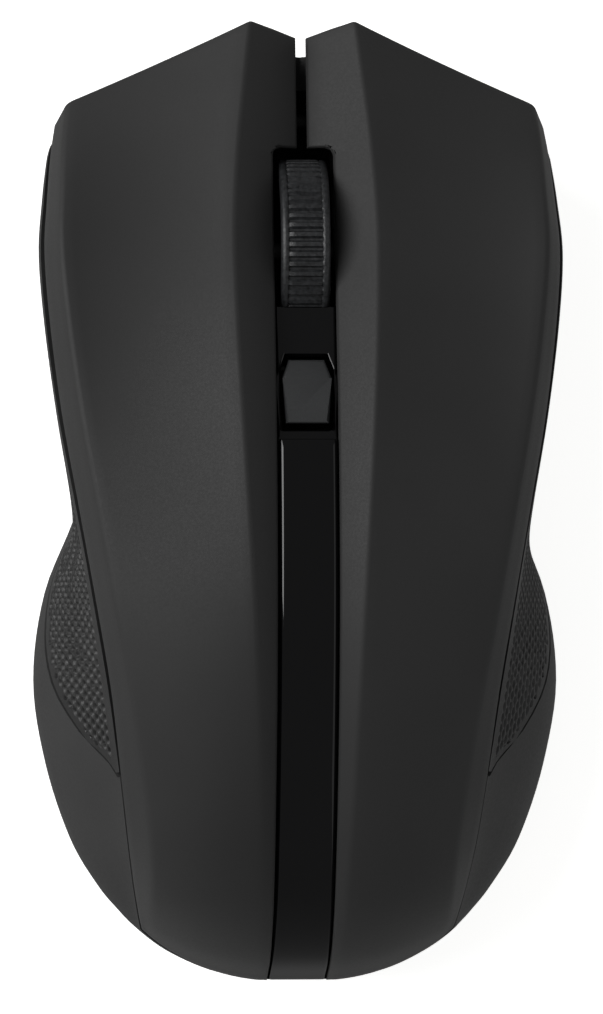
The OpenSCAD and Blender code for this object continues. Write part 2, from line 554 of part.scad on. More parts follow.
module at_feet() {
    for (f = foot_places, s = [-1, 1])
        translate([s * f.x, f.y, 0]) rotate(s * f.z) children();
}
module receiver_pocket() {
    slab(receiver_cap + [0.5, 0.5, 0.3], [receiver_x, receiver_y, foot_proud - 0.1]);
    slab(plug_size + [0.5, 0.5, 0.5], [receiver_x, receiver_y, foot_proud + receiver_cap.z]);
}
module base_shell() {
    pocket_inset = frame_inset + rim_t + 0.2;
    color("#161617") difference() {
        union() {
            difference() {
                union() {
                    flare_prism(rim_inset + 0.9, foot_proud, foot_proud + 1);
                    flare_prism(rim_inset, foot_proud + 1, base_top);
                    deep_prism(frame_inset + 0.2, floor_top, rim_top);
                }
                deep_prism(pocket_inset, floor_top, rim_top + 1);
            }
            for (s = [-1, 1]) slab([bay_wall, bay_nose_y - bay_tail_y - 3, bay_wall_z - floor_top + 0.5],
                [s * (bay_half + bay_wall / 2), (bay_nose_y + bay_tail_y + 3) / 2, floor_top - 0.5]);
            slab([2 * bay_half + 2, bay_wall, bay_wall_z - floor_top + 0.5],
                [0, bay_nose_y + bay_wall / 2, floor_top - 0.5]);
            slab([2 * (bay_half - 2), bay_wall, min(bay_wall_z, flare_z - 0.4) - floor_top + 0.5],
                [0, bay_tail_y - bay_wall / 2, floor_top - 0.5]);
            both_sides(column_x) post(column_r + 1, floor_top - 0.5, boss_top, [0, column_y]);
            both_sides(board_screw_x)
                post(board_boss_r, floor_top - 0.5, board_z - seat_gap, [0, board_screw_y]);
            both_sides(pivot_post_x) translate([0, pivot_y, floor_top - 0.5]) {
                translate([-pivot_post_t / 2, -3, 0]) cube([pivot_post_t, 6, pivot_z + 3 - floor_top]);
            }
            slab(receiver_cap + [3, 3, 0.8], [receiver_x, receiver_y, foot_proud + 1.1]);
            slab(plug_size + [3, 3, 2.4], [receiver_x, receiver_y, foot_proud + receiver_cap.z]);
        }
        door_plate(door_gap, foot_proud - 1, foot_proud + 0.05 + door_t + 0.1);
        door_knuckle(door_t / 2 + 0.15, door_half + door_gap);
        slab([2 * (door_half + door_gap), door_t / 2 + 0.15, door_z],
            [0, door_hinge_y + door_t / 4 + 0.07, foot_proud - 1]);
        slab([2 * bay_half, bay_nose_y - bay_tail_y, 8], [0, (bay_nose_y + bay_tail_y) / 2, foot_proud - 1]);
        translate([0, sensor_y, foot_proud - 1]) rotate(90) stadium(12, 6.5, floor_t + 2);
        both_sides(column_x) post(1.3, foot_proud - 1, boss_top + 1, [0, column_y]);
        both_sides(column_x) post(2.7, foot_proud - 1, foot_proud + 2, [0, column_y]);
        both_sides(board_screw_x) post(0.85, floor_top, board_z + 1, [0, board_screw_y]);
        translate([-10, pivot_y, pivot_z]) rotate([0, 90, 0]) cylinder(r = pivot_r + fit, h = 20);
        slab([3.4, 4 + power_travel + 0.6, 5], [power_x, power_y, foot_proud - 1]);
        at_feet() translate([0, 0, foot_proud - 1])
            stadium(foot_len + 0.2, foot_w + 0.2, 1 + foot_recess);
        receiver_pocket();
    }
}
module glide_feet() {
    color("#8d8f92") at_feet() stadium(foot_len, foot_w, foot_proud + foot_recess);
}

// Key arms: a plate staked under each cover, with the post that presses its microswitch.
module key_arm() {
    size = [9, 15, 1.2];
    lift = 1.1;
    y0 = main_plunger_y - 4;
    tilt = atan2(cover_top(main_switch_x, y0 - 6) - cover_top(main_switch_x, y0 + 6), 12);
    lean = atan2(cover_top(main_switch_x + 3, y0) - cover_top(main_switch_x - 3, y0), 6);
    z0 = cover_top(main_switch_x, y0) - cover_t - size.z - lift;
    color("#202021") {
        translate([main_switch_x, y0, z0]) rotate([-tilt, -lean, 0])
            translate([-size.x / 2, -size.y / 2, 0]) {
                cube(size);
                for (x = [1.6, size.x - 1.6], y = [2, size.y - 2])
                    translate([x, y, size.z / 2]) cylinder(r = 0.8, h = size.z / 2 + lift + 0.7);
            }
        post(1.4, plunger_top + touch, cover_top(main_switch_x, main_plunger_y) - cover_t - lift - 0.8,
            [main_switch_x, main_plunger_y]);
    }
}

// Microswitches: a case with a plunger that stands out of its top.
module switch_case(at) {
    color("#26272a") difference() {
        slab([switch_w, switch_len, switch_h], [at.x, at.y - 2.6, board_top]);
        slab([1.6, 2.8, 2.2], [at.x, at.y, board_top + switch_h - 2]);
        for (y = [-5.2, 0]) translate([at.x - switch_w, at.y + y, board_top + 1.8]) rotate([0, 90, 0])
            cylinder(r = 0.9, h = 2 * switch_w);
    }
}
module switch_plunger(at) {
    color("#d8d4c8") slab([1.3, 2.5, plunger_h + 1.1], [at.x, at.y, plunger_top - plunger_h - 1.1]);
}
module dpi_switch_case() {
    color("#2a2b2d") difference() {
        slab([4.5, 4.5, dpi_switch_h], [0, dpi_y, board_top]);
        post(1.3, board_top + dpi_switch_h - 1.4, board_top + dpi_switch_h + 1, [0, dpi_y]);
    }
}
module dpi_switch_plunger() {
    color("#b9562f") post(1.2, dpi_plunger_top - dpi_plunger_h - 0.8, dpi_plunger_top, [0, dpi_y]);
}

// Wheel: ribbed tyre on a hub whose windows cut the encoder's light.
tyre_in = wheel_r - 2;
rib_depth = 0.35;
rib_band = wheel_w * 0.7;
axle_r = 1.5;
axle_reach = 6.1;
hub_half = 2.3;
star_r = 4;
window_count = 16;
window_mid = wheel_r - 4.1;
module along_x(x0, x1) {
    translate([x0, wheel_y, wheel_z]) rotate([90, 0, 90]) linear_extrude(x1 - x0) children();
}
module wheel_tyre() {
    root = wheel_r - rib_depth;
    shoulder = 1.2;
    color("#1f2022") difference() {
        union() {
            along_x(-rib_band / 2, rib_band / 2) polygon([for (i = [0:rib_count - 1], k = [0:3])
                let (a = 360 * (i + [0, 0.2, 0.5, 0.7][k]) / rib_count,
                    r = k == 1 || k == 2 ? wheel_r : root) [r * cos(a), r * sin(a)]]);
            translate([0, wheel_y, wheel_z]) rotate([0, 90, 0]) rotate_extrude($fn = 96)
                polygon([[0, -wheel_w / 2], [root - shoulder, -wheel_w / 2],
                    [root - 0.25, -rib_band / 2 - 0.2], [root, -rib_band / 2],
                    [root, rib_band / 2], [root - 0.25, rib_band / 2 + 0.2],
                    [root - shoulder, wheel_w / 2], [0, wheel_w / 2]]);
        }
        along_x(-wheel_w, wheel_w) circle(r = tyre_in, $fn = 96);
    }
}
module wheel_hub() {
    color("#131314") difference() {
        union() {
            along_x(-hub_half, hub_half) circle(r = tyre_in - fit, $fn = 96);
            along_x(-axle_reach, axle_reach) circle(r = axle_r);
            along_x(hub_half - 1, hub_half + 0.7) polygon([for (i = [0:2 * window_count - 1])
                let (a = 180 * i / window_count, r = i % 2 == 0 ? star_r : star_r - 0.5)
                [r * cos(a), r * sin(a)]]);
        }
        for (i = [0:window_count - 1])
            translate([0, wheel_y, wheel_z]) rotate([360 * (i + 0.5) / window_count, 0, 0])
                translate([-hub_half - 1, window_mid - 1.1, -0.75]) cube([2 * hub_half + 2, 2.2, 1.5]);
    }
}

// Carriage: holds the wheel's axle, turns on two stub shafts in the base, and presses the wheel switch.
carriage_in = 3.5;
carriage_t = 1.2;
lug_z = plunger_top + 2 * touch;
lug_t = min(1.8, wheel_z - axle_r - 0.2 - lug_z);
module carriage_arm() {
    module disc(r, y, z) { translate([y, z]) circle(r = r); }
    translate([carriage_in, 0, 0]) rotate([90, 0, 90]) linear_extrude(carriage_t) difference() {
        union() {
            disc(2.9, wheel_y, wheel_z);
            disc(2.3, pivot_y, pivot_z);
            polygon([[wheel_y, wheel_z + 1.5], [pivot_y, pivot_z + 1.5], [pivot_y, pivot_z - 1.5],
                [wheel_y + 1.4, wheel_z - 1.2], [wheel_plunger_y - 1.3, lug_z],
                [wheel_plunger_y - 1.3, wheel_z - 0.4]]);
        }
        disc(axle_r + fit, wheel_y, wheel_z);
    }
}
module wheel_carriage() {
    color("#1c1c1d") {
        for (m = [0, 1]) mirror([m, 0, 0]) {
            carriage_arm();
            slab([wheel_lug_x + 1.4 - carriage_in - carriage_t / 2, 2.6, lug_t],
                [(wheel_lug_x + 1.4 + carriage_in + carriage_t / 2) / 2, wheel_plunger_y, lug_z]);
        }
        translate([-pivot_post_x - pivot_post_t / 2 - 0.3, pivot_y, pivot_z]) rotate([0, 90, 0])
            cylinder(r = pivot_r, h = 2 * pivot_post_x + pivot_post_t + 0.6);
    }
}
press_wire_d = 0.4;
module carriage_spring() {
    height = lug_z - board_top - press_wire_d - 2 * touch;
    color("#b8b9bb") translate([wheel_lug_x, wheel_plunger_y, board_top + press_wire_d / 2 + touch])
        wire(coil(1.2, 5, height), press_wire_d);
}
// A leaf that rests on the hub's star and clicks from valley to valley.
module detent_spring() {
    leaf_t = 0.25;
    color("#c4c5c7") translate([0, wheel_y - star_r - 2 * leaf_t + 0.05, wheel_z - 3.65]) {
        translate([hub_half + 0.35, 0, 0]) cube([0.4, leaf_t, 5]);
        translate([hub_half + 0.35, 0, 0]) cube([carriage_in - hub_half - 0.35, 2, leaf_t]);
    }
}

// Encoder: an emitter and a detector that look at each other through the hub's windows.
encoder_reach = 4.6;
encoder_y = wheel_y + encoder_reach;
encoder_z = wheel_z - sqrt(window_mid * window_mid - encoder_reach * encoder_reach);
module encoder_part(tint) {
    color(tint) {
        slab([2.2, 4.4, 3.4], [7.9, encoder_y, encoder_z - 1.7]);
        translate([6.8, encoder_y, encoder_z]) rotate([0, -90, 0]) cylinder(r = 0.9, h = 0.6);
        for (y = [-1.27, 1.27])
            slab([0.4, 0.4, encoder_z - 1.7 - board_z + 1], [7.9, encoder_y + y, board_z - 1]);
    }
}

// Board, sensor and the parts soldered on it.
board_half = 18.6;
board_rear_y = bay_nose_y + bay_wall + 0.3;
board_front_y = nose_y - 9.5 * size_ratio.y;
board_corner_y = nose_y - 15.5 * size_ratio.y;
notch_half = 6.1;
notch_rear_y = wheel_y - wheel_r - 1;
module circuit_board() {
    color("#1f5a38") difference() {
        translate([0, 0, board_z]) linear_extrude(board_t) polygon([[-board_half, board_rear_y],
            [board_half, board_rear_y], [board_half, board_corner_y], [12.5, board_front_y],
            [-12.5, board_front_y], [-board_half, board_corner_y]]);
        slab([2 * notch_half, 60, 4], [0, notch_rear_y + 30, board_z - 1]);
        slab([18, 40, 4], [0, pivot_y - 4 + 20, board_z - 1]);
        slab([5, 9, 4], [0, sensor_y, board_z - 1]);
        both_sides(board_screw_x) post(1.1, board_z - 1, board_top + 1, [0, board_screw_y]);
        both_sides(7.9) for (y = [-1.27, 1.27]) slab([0.6, 0.6, 4], [0, encoder_y + y, board_z - 1]);
    }
}
chip_h = 2.6;
module sensor_chip() {
    color("#18191b") {
        slab([9.9, 9.1, chip_h], [0, sensor_y, board_top]);
        for (x = [-5.3, 5.3], y = [-3.6, -1.2, 1.2, 3.6])
            slab([0.9, 0.5, 1.2], [x, sensor_y + y, board_top]);
    }
}
module sensor_lens() {
    color("#dfe6ea") {
        slab([14, 10, 1.6], [0, sensor_y, floor_top + 0.05]);
        translate([0, sensor_y, foot_proud + 0.7]) rotate(90) stadium(10.5, 5, floor_t - 0.4);
        post(1.8, floor_top + 1.5, board_z - 0.1, [0, sensor_y]);
    }
}
led_x = -9;
module sensor_led() {
    color("#c23a32") translate([led_x, sensor_y, board_top + 1.8]) rotate([0, -90, 0]) {
        cylinder(r = 1.5, h = 4);
        translate([0, 0, 4]) cylinder(r = 1.8, h = 0.9);
    }
}
module led_clip() {
    color("#26272a") difference() {
        slab([17, 8.4, chip_h + 1.7], [-3.6, sensor_y, board_top]);
        slab([12.4, 20, chip_h + 0.1], [0.2, sensor_y, board_top - 0.01]);
        translate([led_x + 2, sensor_y, board_top + 1.8]) rotate([0, -90, 0]) cylinder(r = 1.85, h = 12);
        slab([3, 3.7, 2], [led_x, sensor_y, board_top - 0.2]);
    }
}
module radio_chip() {
    color("#1a1b1d") slab([5, 5, 0.9], [10.6, sensor_y + 1, board_top]);
    color("#b9bbbe") for (k = [-1.8, -0.6, 0.6, 1.8]) {
        slab([6, 0.3, 0.3], [10.6, sensor_y + 1 + k, board_top]);
    }
}
module crystal_can() {
    color("#b9bbbe") translate([11, sensor_y + 7.2, board_top]) stadium(8, 3.4, 3);
}
module capacitors() {
    color("#3a3550") post(2, board_top, board_top + 5, [-15.6, sensor_y - 3]);
    color("#a98a62") for (i = [0:3]) slab([1.6, 0.8, 0.8], [-13.5, sensor_y + 8 + 1.6 * i, board_top]);
}
module power_switch_case() {
    color("#b7b9bb") difference() {
        slab([4.4, 9, 3.2], [power_x, power_y, board_z - 3.2]);
        slab([2, 3 + power_travel, 2.6], [power_x, power_y, board_z - 4.2]);
    }
}
module power_knob() {
    y0 = power_y - power_travel / 2;
    color("#a7a9ab") {
        slab([2.8, 4, floor_t - 0.1], [power_x, y0, foot_proud + 0.2]);
        slab([1.6, 2.4, board_z - 3.2 - floor_top + 1.3], [power_x, y0, floor_top]);
    }
}
module board_screws() {
    color("#a9abae") both_sides(board_screw_x) {
        post(1.9, board_top + seat_gap, board_top + 1.4, [0, board_screw_y]);
        post(0.8, floor_top + 0.4, board_top + 0.5, [0, board_screw_y]);
    }
}
module case_screws() {
    color("#8f9194") both_sides(column_x) difference() {
        union() {
            post(2.3, foot_proud + 0.3, foot_proud + 1.98, [0, column_y]);
            post(1, foot_proud + 1, boss_top + 8, [0, column_y]);
        }
        slab([3, 0.6, 0.9], [0, column_y, foot_proud]);
        slab([0.6, 3, 0.9], [0, column_y, foot_proud]);
    }
}

// Cells lie side by side, one each way round, each between a flat contact and a sprung one.
nub_len = 1;
contact_t = 0.3;
contact_h = 8.4;
slack = 0.05;
spring_wire_d = 0.4;
module cell() {
    end_y = bay_tail_y + 2 * slack + contact_t;
    color("#23452f") translate([cell_x, end_y, cell_z]) rotate([-90, 0, 0]) {
        cylinder(r = 1.9, h = cell_len);
        translate([0, 0, nub_len]) cylinder(r = cell_r - slack, h = cell_len - nub_len);
    }
}
// Turns a right-hand piece of the bay into its left-hand neighbour, which faces the other way.
module turned_in_bay() {
    middle = (bay_tail_y + bay_nose_y) / 2;
    translate([0, middle, 0]) mirror([1, 0, 0]) mirror([0, 1, 0]) translate([0, -middle, 0]) children();
}
module cell_contacts() {
    color("#c3c4c6") {
        slab([2 * (bay_half - 2.2), contact_t, contact_h],
            [0, bay_tail_y + slack + contact_t / 2, floor_top + 0.6]);
        for (s = [-1, 1]) slab([8, contact_t, contact_h],
            [s * cell_x, bay_nose_y - slack - contact_t / 2, floor_top + 0.6]);
    }
}
module cell_spring() {
    y0 = bay_tail_y + 2 * slack + contact_t + cell_len;
    room = bay_nose_y - contact_t - slack - y0;
    translate([cell_x, y0 + spring_wire_d / 2 + slack, cell_z]) rotate([-90, 0, 0])
        wire(coil(3, 2, room - spring_wire_d - 2 * slack), spring_wire_d);
}
module cell_springs() {
    color("#c3c4c6") {
        cell_spring();
        turned_in_bay() cell_spring();
    }
}
// A lead arches from its contact over the wall of the bay and down to the board.
lead_d = 0.8;
lead_route = [[0, 0.1, 1.7], [0, 0.6, 1.85], [0, 1.2, 1.7], [0, 1.65, 1.2], [0, 1.85, 0.6], [0, 1.9, 0.05]];
module lead(tint, x) {
    color(tint) translate([x, bay_nose_y, board_top]) wire(lead_route, lead_d, 8);
}

// Nano receiver, parked plug up in a pocket of the base.
module receiver_case() {
    color("#1b1b1c") slab(receiver_cap, [receiver_x, receiver_y, foot_proud + 0.1]);
}
module receiver_plug() {
    color("#b5b7ba") difference() {
        slab(plug_size, [receiver_x, receiver_y, foot_proud + 0.1 + receiver_cap.z]);
        slab([plug_size.x - 0.6, plug_size.y - 0.6, 8],
            [receiver_x, receiver_y, foot_proud + 0.1 + receiver_cap.z + plug_size.z - 7.9]);
    }
}

base_shell();
side_frame();
mirror([1, 0, 0]) button_cover();  // left_button_cover
button_cover();  // right_button_cover
centre_strip();
dpi_bezel();
spine_frame();
mirror([1, 0, 0]) side_grip();  // left_grip
side_grip();  // right_grip
mirror([1, 0, 0]) key_arm();  // left_key_arm
key_arm();  // right_key_arm
mirror([1, 0, 0]) hinge_arm();  // left_hinge_arm
hinge_arm();  // right_hinge_arm
hinge_pin();
dpi_button();
dpi_switch_case();
dpi_switch_plunger();
wheel_tyre();
wheel_hub();
wheel_carriage();
carriage_spring();
detent_spring();
mirror([1, 0, 0]) encoder_part("#3a3d55");  // encoder_emitter
encoder_part("#202124");  // encoder_detector
switch_case([-main_switch_x, main_plunger_y]);  // left_switch_case
switch_plunger([-main_switch_x, main_plunger_y]);  // left_switch_plunger
switch_case([main_switch_x, main_plunger_y]);  // right_switch_case
switch_plunger([main_switch_x, main_plunger_y]);  // right_switch_plunger
switch_case([-wheel_lug_x, wheel_plunger_y]);  // wheel_switch_case
switch_plunger([-wheel_lug_x, wheel_plunger_y]);  // wheel_switch_plunger
circuit_board();
sensor_chip();
sensor_lens();
sensor_led();
led_clip();
radio_chip();
crystal_can();
capacitors();
power_switch_case();
power_knob();
battery_door();
turned_in_bay() cell();  // left_cell
cell();  // right_cell
cell_springs();
cell_contacts();
lead("#a8261f", cell_x);  // red_lead
lead("#161617", -cell_x);  // black_lead
receiver_case();
receiver_plug();
glide_feet();
case_screws();
board_screws();
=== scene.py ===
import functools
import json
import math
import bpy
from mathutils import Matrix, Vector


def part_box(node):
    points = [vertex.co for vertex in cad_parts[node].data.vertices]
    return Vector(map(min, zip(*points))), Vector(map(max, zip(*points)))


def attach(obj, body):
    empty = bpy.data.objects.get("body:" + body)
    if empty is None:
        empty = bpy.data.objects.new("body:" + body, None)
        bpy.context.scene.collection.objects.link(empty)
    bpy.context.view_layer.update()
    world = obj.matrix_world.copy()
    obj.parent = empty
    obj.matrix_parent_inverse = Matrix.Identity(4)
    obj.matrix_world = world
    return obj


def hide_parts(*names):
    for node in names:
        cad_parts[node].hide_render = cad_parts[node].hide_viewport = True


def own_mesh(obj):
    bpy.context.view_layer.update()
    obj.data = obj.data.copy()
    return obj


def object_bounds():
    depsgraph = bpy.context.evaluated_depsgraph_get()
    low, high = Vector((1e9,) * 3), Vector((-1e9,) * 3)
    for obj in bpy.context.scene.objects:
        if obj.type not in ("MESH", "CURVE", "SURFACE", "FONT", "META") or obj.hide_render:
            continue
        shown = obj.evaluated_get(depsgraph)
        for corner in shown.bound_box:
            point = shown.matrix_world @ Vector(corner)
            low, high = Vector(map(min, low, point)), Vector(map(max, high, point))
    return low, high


bl_info = {
    "name": "Wireless Mouse",
    "version": (1, 0, 0),
    "blender": (4, 5, 0),
    "location": "View3D > Sidebar > Mouse",
    "description": "Shells, rubber, wheel and finishes of a wireless mouse, on its packed frame",
    "category": "Add Mesh",
}

import bmesh
import bpy
from bpy.props import FloatProperty, FloatVectorProperty, IntProperty, PointerProperty
from mathutils import Matrix, Vector

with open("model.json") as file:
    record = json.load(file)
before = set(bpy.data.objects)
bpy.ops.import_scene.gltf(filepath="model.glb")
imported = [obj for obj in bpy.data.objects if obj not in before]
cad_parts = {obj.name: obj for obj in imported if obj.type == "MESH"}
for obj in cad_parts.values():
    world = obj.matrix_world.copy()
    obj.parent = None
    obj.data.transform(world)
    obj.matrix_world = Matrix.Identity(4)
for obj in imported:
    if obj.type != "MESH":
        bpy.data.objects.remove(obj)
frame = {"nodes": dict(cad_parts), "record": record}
CAD_BOX = [list(corner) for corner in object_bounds()]

MM = 0.001
# Closer than this, in millimetres, two places count as one.
NEAR = 0.01


def box_mm(node):
    """Lowest and highest corner of a CAD node, in millimetres."""
    low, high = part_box(node)
    return low / MM, high / MM


# ---------------------------------------------------------------- shape of the body, in millimetres

# Stations of one cover, nose to tail: ridge, middle of the scoop, outer crease, outer edge.
COVER_ROWS = [
    [Vector(p) for p in row]
    for row in (
        ((5.8, 54, 23), (16, 49.4, 20.8), (26.2, 45, 20), (27.6, 42.6, 16.8)),
        ((6.6, 47, 25), (17, 44, 22.8), (26.7, 40.5, 22.6), (28.1, 39, 18.4)),
        ((7.4, 39.5, 27.2), (17.2, 37.2, 25.2), (26.9, 35, 25.8), (28.5, 34, 21.2)),
        ((7.9, 30.5, 30), (17.4, 29.5, 27.9), (27, 28.5, 28.6), (28.8, 28, 23.8)),
        ((7.7, 20.5, 33.4), (17, 20.2, 30.6), (26.2, 20, 30.4), (28.2, 20, 25.6)),
        ((7.2, 10, 36.2), (15.9, 10, 33.1), (24.8, 10, 31.9), (26.9, 10, 27)),
        ((6.6, 0, 37.7), (14.6, 0, 35), (23, 0, 33), (25.1, 0, 28.4)),
        ((6, -10, 38), (13.5, -10, 36.1), (21.2, -10, 33.6), (23.3, -10, 29.5)),
        ((5.5, -20, 36.8), (12.4, -20, 35.6), (19.4, -20, 32.9), (21.6, -20, 29.4)),
        ((5.1, -30, 34.3), (11.6, -30, 33.4), (17.9, -30, 30.6), (20.4, -30, 27)),
        ((4.8, -38, 31.3), (11, -38, 30.6), (17, -38, 27.6), (19.5, -37.5, 23.4)),
        ((4.5, -45, 27.3), (10.7, -44.8, 26.3), (16.8, -43.6, 23), (18.8, -42.5, 19)),
        ((4.3, -50.6, 20.8), (10.7, -49.6, 19.8), (16.8, -47, 17.6), (18.2, -46, 15.4)),
        ((4.2, -54, 12), (10.6, -52.5, 12.2), (16.4, -49.2, 12.8), (17.8, -48, 13.2)),
    )
]
LAST_ROW = len(COVER_ROWS) - 1

# Stations of the side wall: seam, low line, and (bulge, tuck, share that is grip).
FLARE_Z = 8
FRONT_ROWS = [
    ((0, 50.4, 17.2), (0, 50.4, FLARE_Z), (0, 0, 0.05)),
    ((6.4, 50.4, 21), (6, 50.3, FLARE_Z), (0, 0, 0.05)),
    ((15, 47.3, 18.8), (14.4, 47.1, FLARE_Z), (0.2, 0, 0.05)),
    ((22.4, 43.8, 18.4), (21, 43.6, FLARE_Z), (0.4, 0, 0.05)),
    ((27, 41.2, 17), (24.4, 41, FLARE_Z), (0.8, 0, 0.3)),
]
FLARE_ROWS = [
    ((25.4, 38.5, FLARE_Z), (1.4, 0, 0.62)),
    ((25.6, 33.5, FLARE_Z), (2, 0, 0.74)),
    ((25.2, 28, FLARE_Z), (2.4, 0.3, 0.8)),
    ((24.4, 20, FLARE_Z), (2.4, 0.5, 0.84)),
    ((23.8, 10, FLARE_Z), (2.2, 0.8, 0.86)),
    ((24.8, 0, FLARE_Z), (2, 0.8, 0.86)),
    ((28.6, -10, FLARE_Z), (2, 0.6, 0.83)),
    ((29.9, -20, FLARE_Z), (3.2, 0.4, 0.61)),
    ((28.5, -29.5, FLARE_Z), (2.6, 0.3, 0.14)),
    ((25.7, -38, FLARE_Z), (1.6, 0.2, 0.05)),
    ((22.6, -43.3, FLARE_Z), (1, 0.1, 0.05)),
    ((20.2, -46.2, FLARE_Z), (0.6, 0, 0.05)),
    ((18.6, -47.8, FLARE_Z), (0.3, 0, 0.05)),
]
TAIL_ROWS = [
    ((14.4, -50.6, 12.6), (15, -50.6, FLARE_Z), (0.2, 0, 0.05)),
    ((10, -52.7, 12.2), (10.3, -52.7, FLARE_Z), (0.1, 0, 0.05)),
    ((5, -53.8, 11.4), (5.2, -53.85, FLARE_Z), (0, 0, 0.05)),
    ((0, -54, 10.6), (0, -54, FLARE_Z), (0, 0, 0.05)),
]
SIDE_ROWS = [
    [Vector(p) for p in row]
    for row in FRONT_ROWS
    + [
        (tuple(COVER_ROWS[i + 1][3]), low, push)
        for i, (low, push) in enumerate(FLARE_ROWS)
    ]
    + TAIL_ROWS
]
LAST_SIDE = len(SIDE_ROWS) - 1
CORNER_U = len(FRONT_ROWS) - 1
REAR_CORNER_U = CORNER_U + LAST_ROW
GRIP_FRONT_U, GRIP_REAR_U = CORNER_U + 1 / 3, 13
NOSE_Y, TAIL_Y = 54, -54
FRAME_BOTTOM = 4.4

# The wheel sets the slot, and the slot sets the strip.
TYRE_LOW, TYRE_HIGH = box_mm("wheel_tyre")
WHEEL = (TYRE_LOW + TYRE_HIGH) / 2
WHEEL_R = (TYRE_HIGH.y - TYRE_LOW.y) / 2
WHEEL_W = TYRE_HIGH.x - TYRE_LOW.x
SLOT_HALF = WHEEL_W / 2 + 0.7
SLOT_FRONT_Y = WHEEL.y + WHEEL_R + 1.2
NOSE_SLOT_HALF = 0.6
VALLEY_SLOPE = 0.65
HINGE_Y = TAIL_Y + 6.8
COVER_WALL = 1.8
FRAME_WALL = 2.2
GRIP_WALL = 1.2
KEY_LOW, KEY_HIGH = box_mm("dpi_button")
KEY_Y = (KEY_LOW.y + KEY_HIGH.y) / 2
KEY_LEN = 7
STRIP_FRONT_Y = box_mm("centre_strip")[1].y
STRIP_HALF = SLOT_HALF - 0.25
BEZEL_FRONT_Y = WHEEL.y - 6.2


def between(rows, u):
    """A smooth curve through the stations, at place u."""
    last = len(rows) - 1
    i = max(0, min(math.floor(u), last - 1))
    t = u - i

    def station(k):
        if k < 0:
            return [2 * a - b for a, b in zip(rows[0], rows[1])]
        if k > last:
            return [2 * a - b for a, b in zip(rows[last], rows[last - 1])]
        return rows[k]

    return [
        0.5
        * (
            2 * b
            + (c - a) * t
            + (2 * a - 5 * b + 4 * c - d) * t * t
            + (3 * b - a - 3 * c + d) * t * t * t
        )
        for a, b, c, d in zip(station(i - 1), station(i), station(i + 1), station(i + 2))
    ]


def ramp(x, stops):
    """Straight lines through (place, value) stops, level beyond the ends."""
    if x <= stops[0][0]:
        return stops[0][1]
    for (x0, y0), (x1, y1) in zip(stops, stops[1:]):
        if x <= x1:
            return y0 + (y1 - y0) * (x - x0) / (x1 - x0)
    return stops[-1][1]


@functools.lru_cache(maxsize=None)
def cover_station(u):
    return between(COVER_ROWS, u)


def cover_point(u, v, inner_x=SLOT_HALF):
    """v from 0 at the valley to 1 at the ridge, 2 at the outer crease and 3 at the outer edge."""
    ridge, middle, crease, edge = cover_station(u)
    if v <= 1:
        sweep = ramp(u, ((0, 1.7), (1, 0.4), (2, 0)))
        inner = Vector(
            (inner_x, ridge.y - sweep, ridge.z - VALLEY_SLOPE * (ridge.x - inner_x))
        )
        return inner + (ridge - inner) * v
    if v <= 2:
        q = v - 1
        return (
            ridge * (1 - q) * (1 - 2 * q) + middle * 4 * q * (1 - q) + crease * q * (2 * q - 1)
        )
    return crease + (edge - crease) * (v - 2)


def cover_u(y):
    """The station at a place along the ridge."""
    return ramp(-y, [(-row[0].y, i) for i, row in enumerate(COVER_ROWS)])


def valley_z(y):
    ridge = cover_station(cover_u(y))[0]
    return ridge.z - VALLEY_SLOPE * (ridge.x - SLOT_HALF)


BEZEL_REAR_Y = STRIP_FRONT_Y + 0.05
BEZEL_SINK = 1.3
BEZEL_SLOPE = (valley_z(BEZEL_REAR_Y) - valley_z(BEZEL_FRONT_Y)) / (
    BEZEL_FRONT_Y - BEZEL_REAR_Y
)


def bezel_z(y):
    return valley_z(BEZEL_FRONT_Y) - BEZEL_SINK + (BEZEL_FRONT_Y - y) * BEZEL_SLOPE


def seam_at(y):
    """Gap under a cover: it opens towards the nose, so that the button can go down."""
    return 0.3 + 0.6 / (NOSE_Y - HINGE_Y) * max(0, y - HINGE_Y)


@functools.lru_cache(maxsize=None)
def side_out(u):
    if u < 0.05:
        return Vector((0, 1, 0))
    if u > LAST_SIDE - 0.05:
        return Vector((0, -1, 0))
    a = between(SIDE_ROWS, max(0, u - 0.1))[1]
    b = between(SIDE_ROWS, min(LAST_SIDE, u + 0.1))[1]
    return Vector((a.y - b.y, b.x - a.x, 0)).normalized()


@functools.lru_cache(maxsize=None)
def side_station(u):
    edge, low, push = between(SIDE_ROWS, u)
    if CORNER_U + 0.99 < u < REAR_CORNER_U + 0.01:
        edge = between(COVER_ROWS, u - CORNER_U)[3]
    out = side_out(u)
    top = edge - Vector((0, 0, seam_at(edge.y)))
    height = top.z - low.z
    a = top + out * push.x - Vector((0, 0, 0.35 * height))
    b = low - out * push.y + Vector((0, 0, 0.45 * height))
    taper = min(1, max(0.12, (GRIP_REAR_U + 0.1 - u) / 0.5)) if u > GRIP_REAR_U - 0.4 else 1
    return top, a, b, low, out, max(0.05, push.z) * taper


def side_point(u, v):
    """v from 0 at the seam to 1 at the widest line and 2 at the base."""
    top, a, b, low, out, _ = side_station(u)
    if v <= 1:
        s = 1 - v
        return top * s**3 + a * 3 * s * s * v + b * 3 * s * v * v + low * v**3
    w = v - 1
    return low - out * 0.5 * w * w - Vector((0, 0, (low.z - FRAME_BOTTOM) * w))


def side_normal(u, v):
    if u < 0.05 or u > LAST_SIDE - 0.05:
        return side_out(u)
    along = side_point(u + 0.05, v) - side_point(u - 0.05, v)
    down = side_point(u, min(2, v + 0.04)) - side_point(u, max(0, v - 0.04))
    return along.cross(down).normalized()


def flat(n):
    return Vector((n.x, n.y, 0)).normalized()


# ---------------------------------------------------------------- mesh work


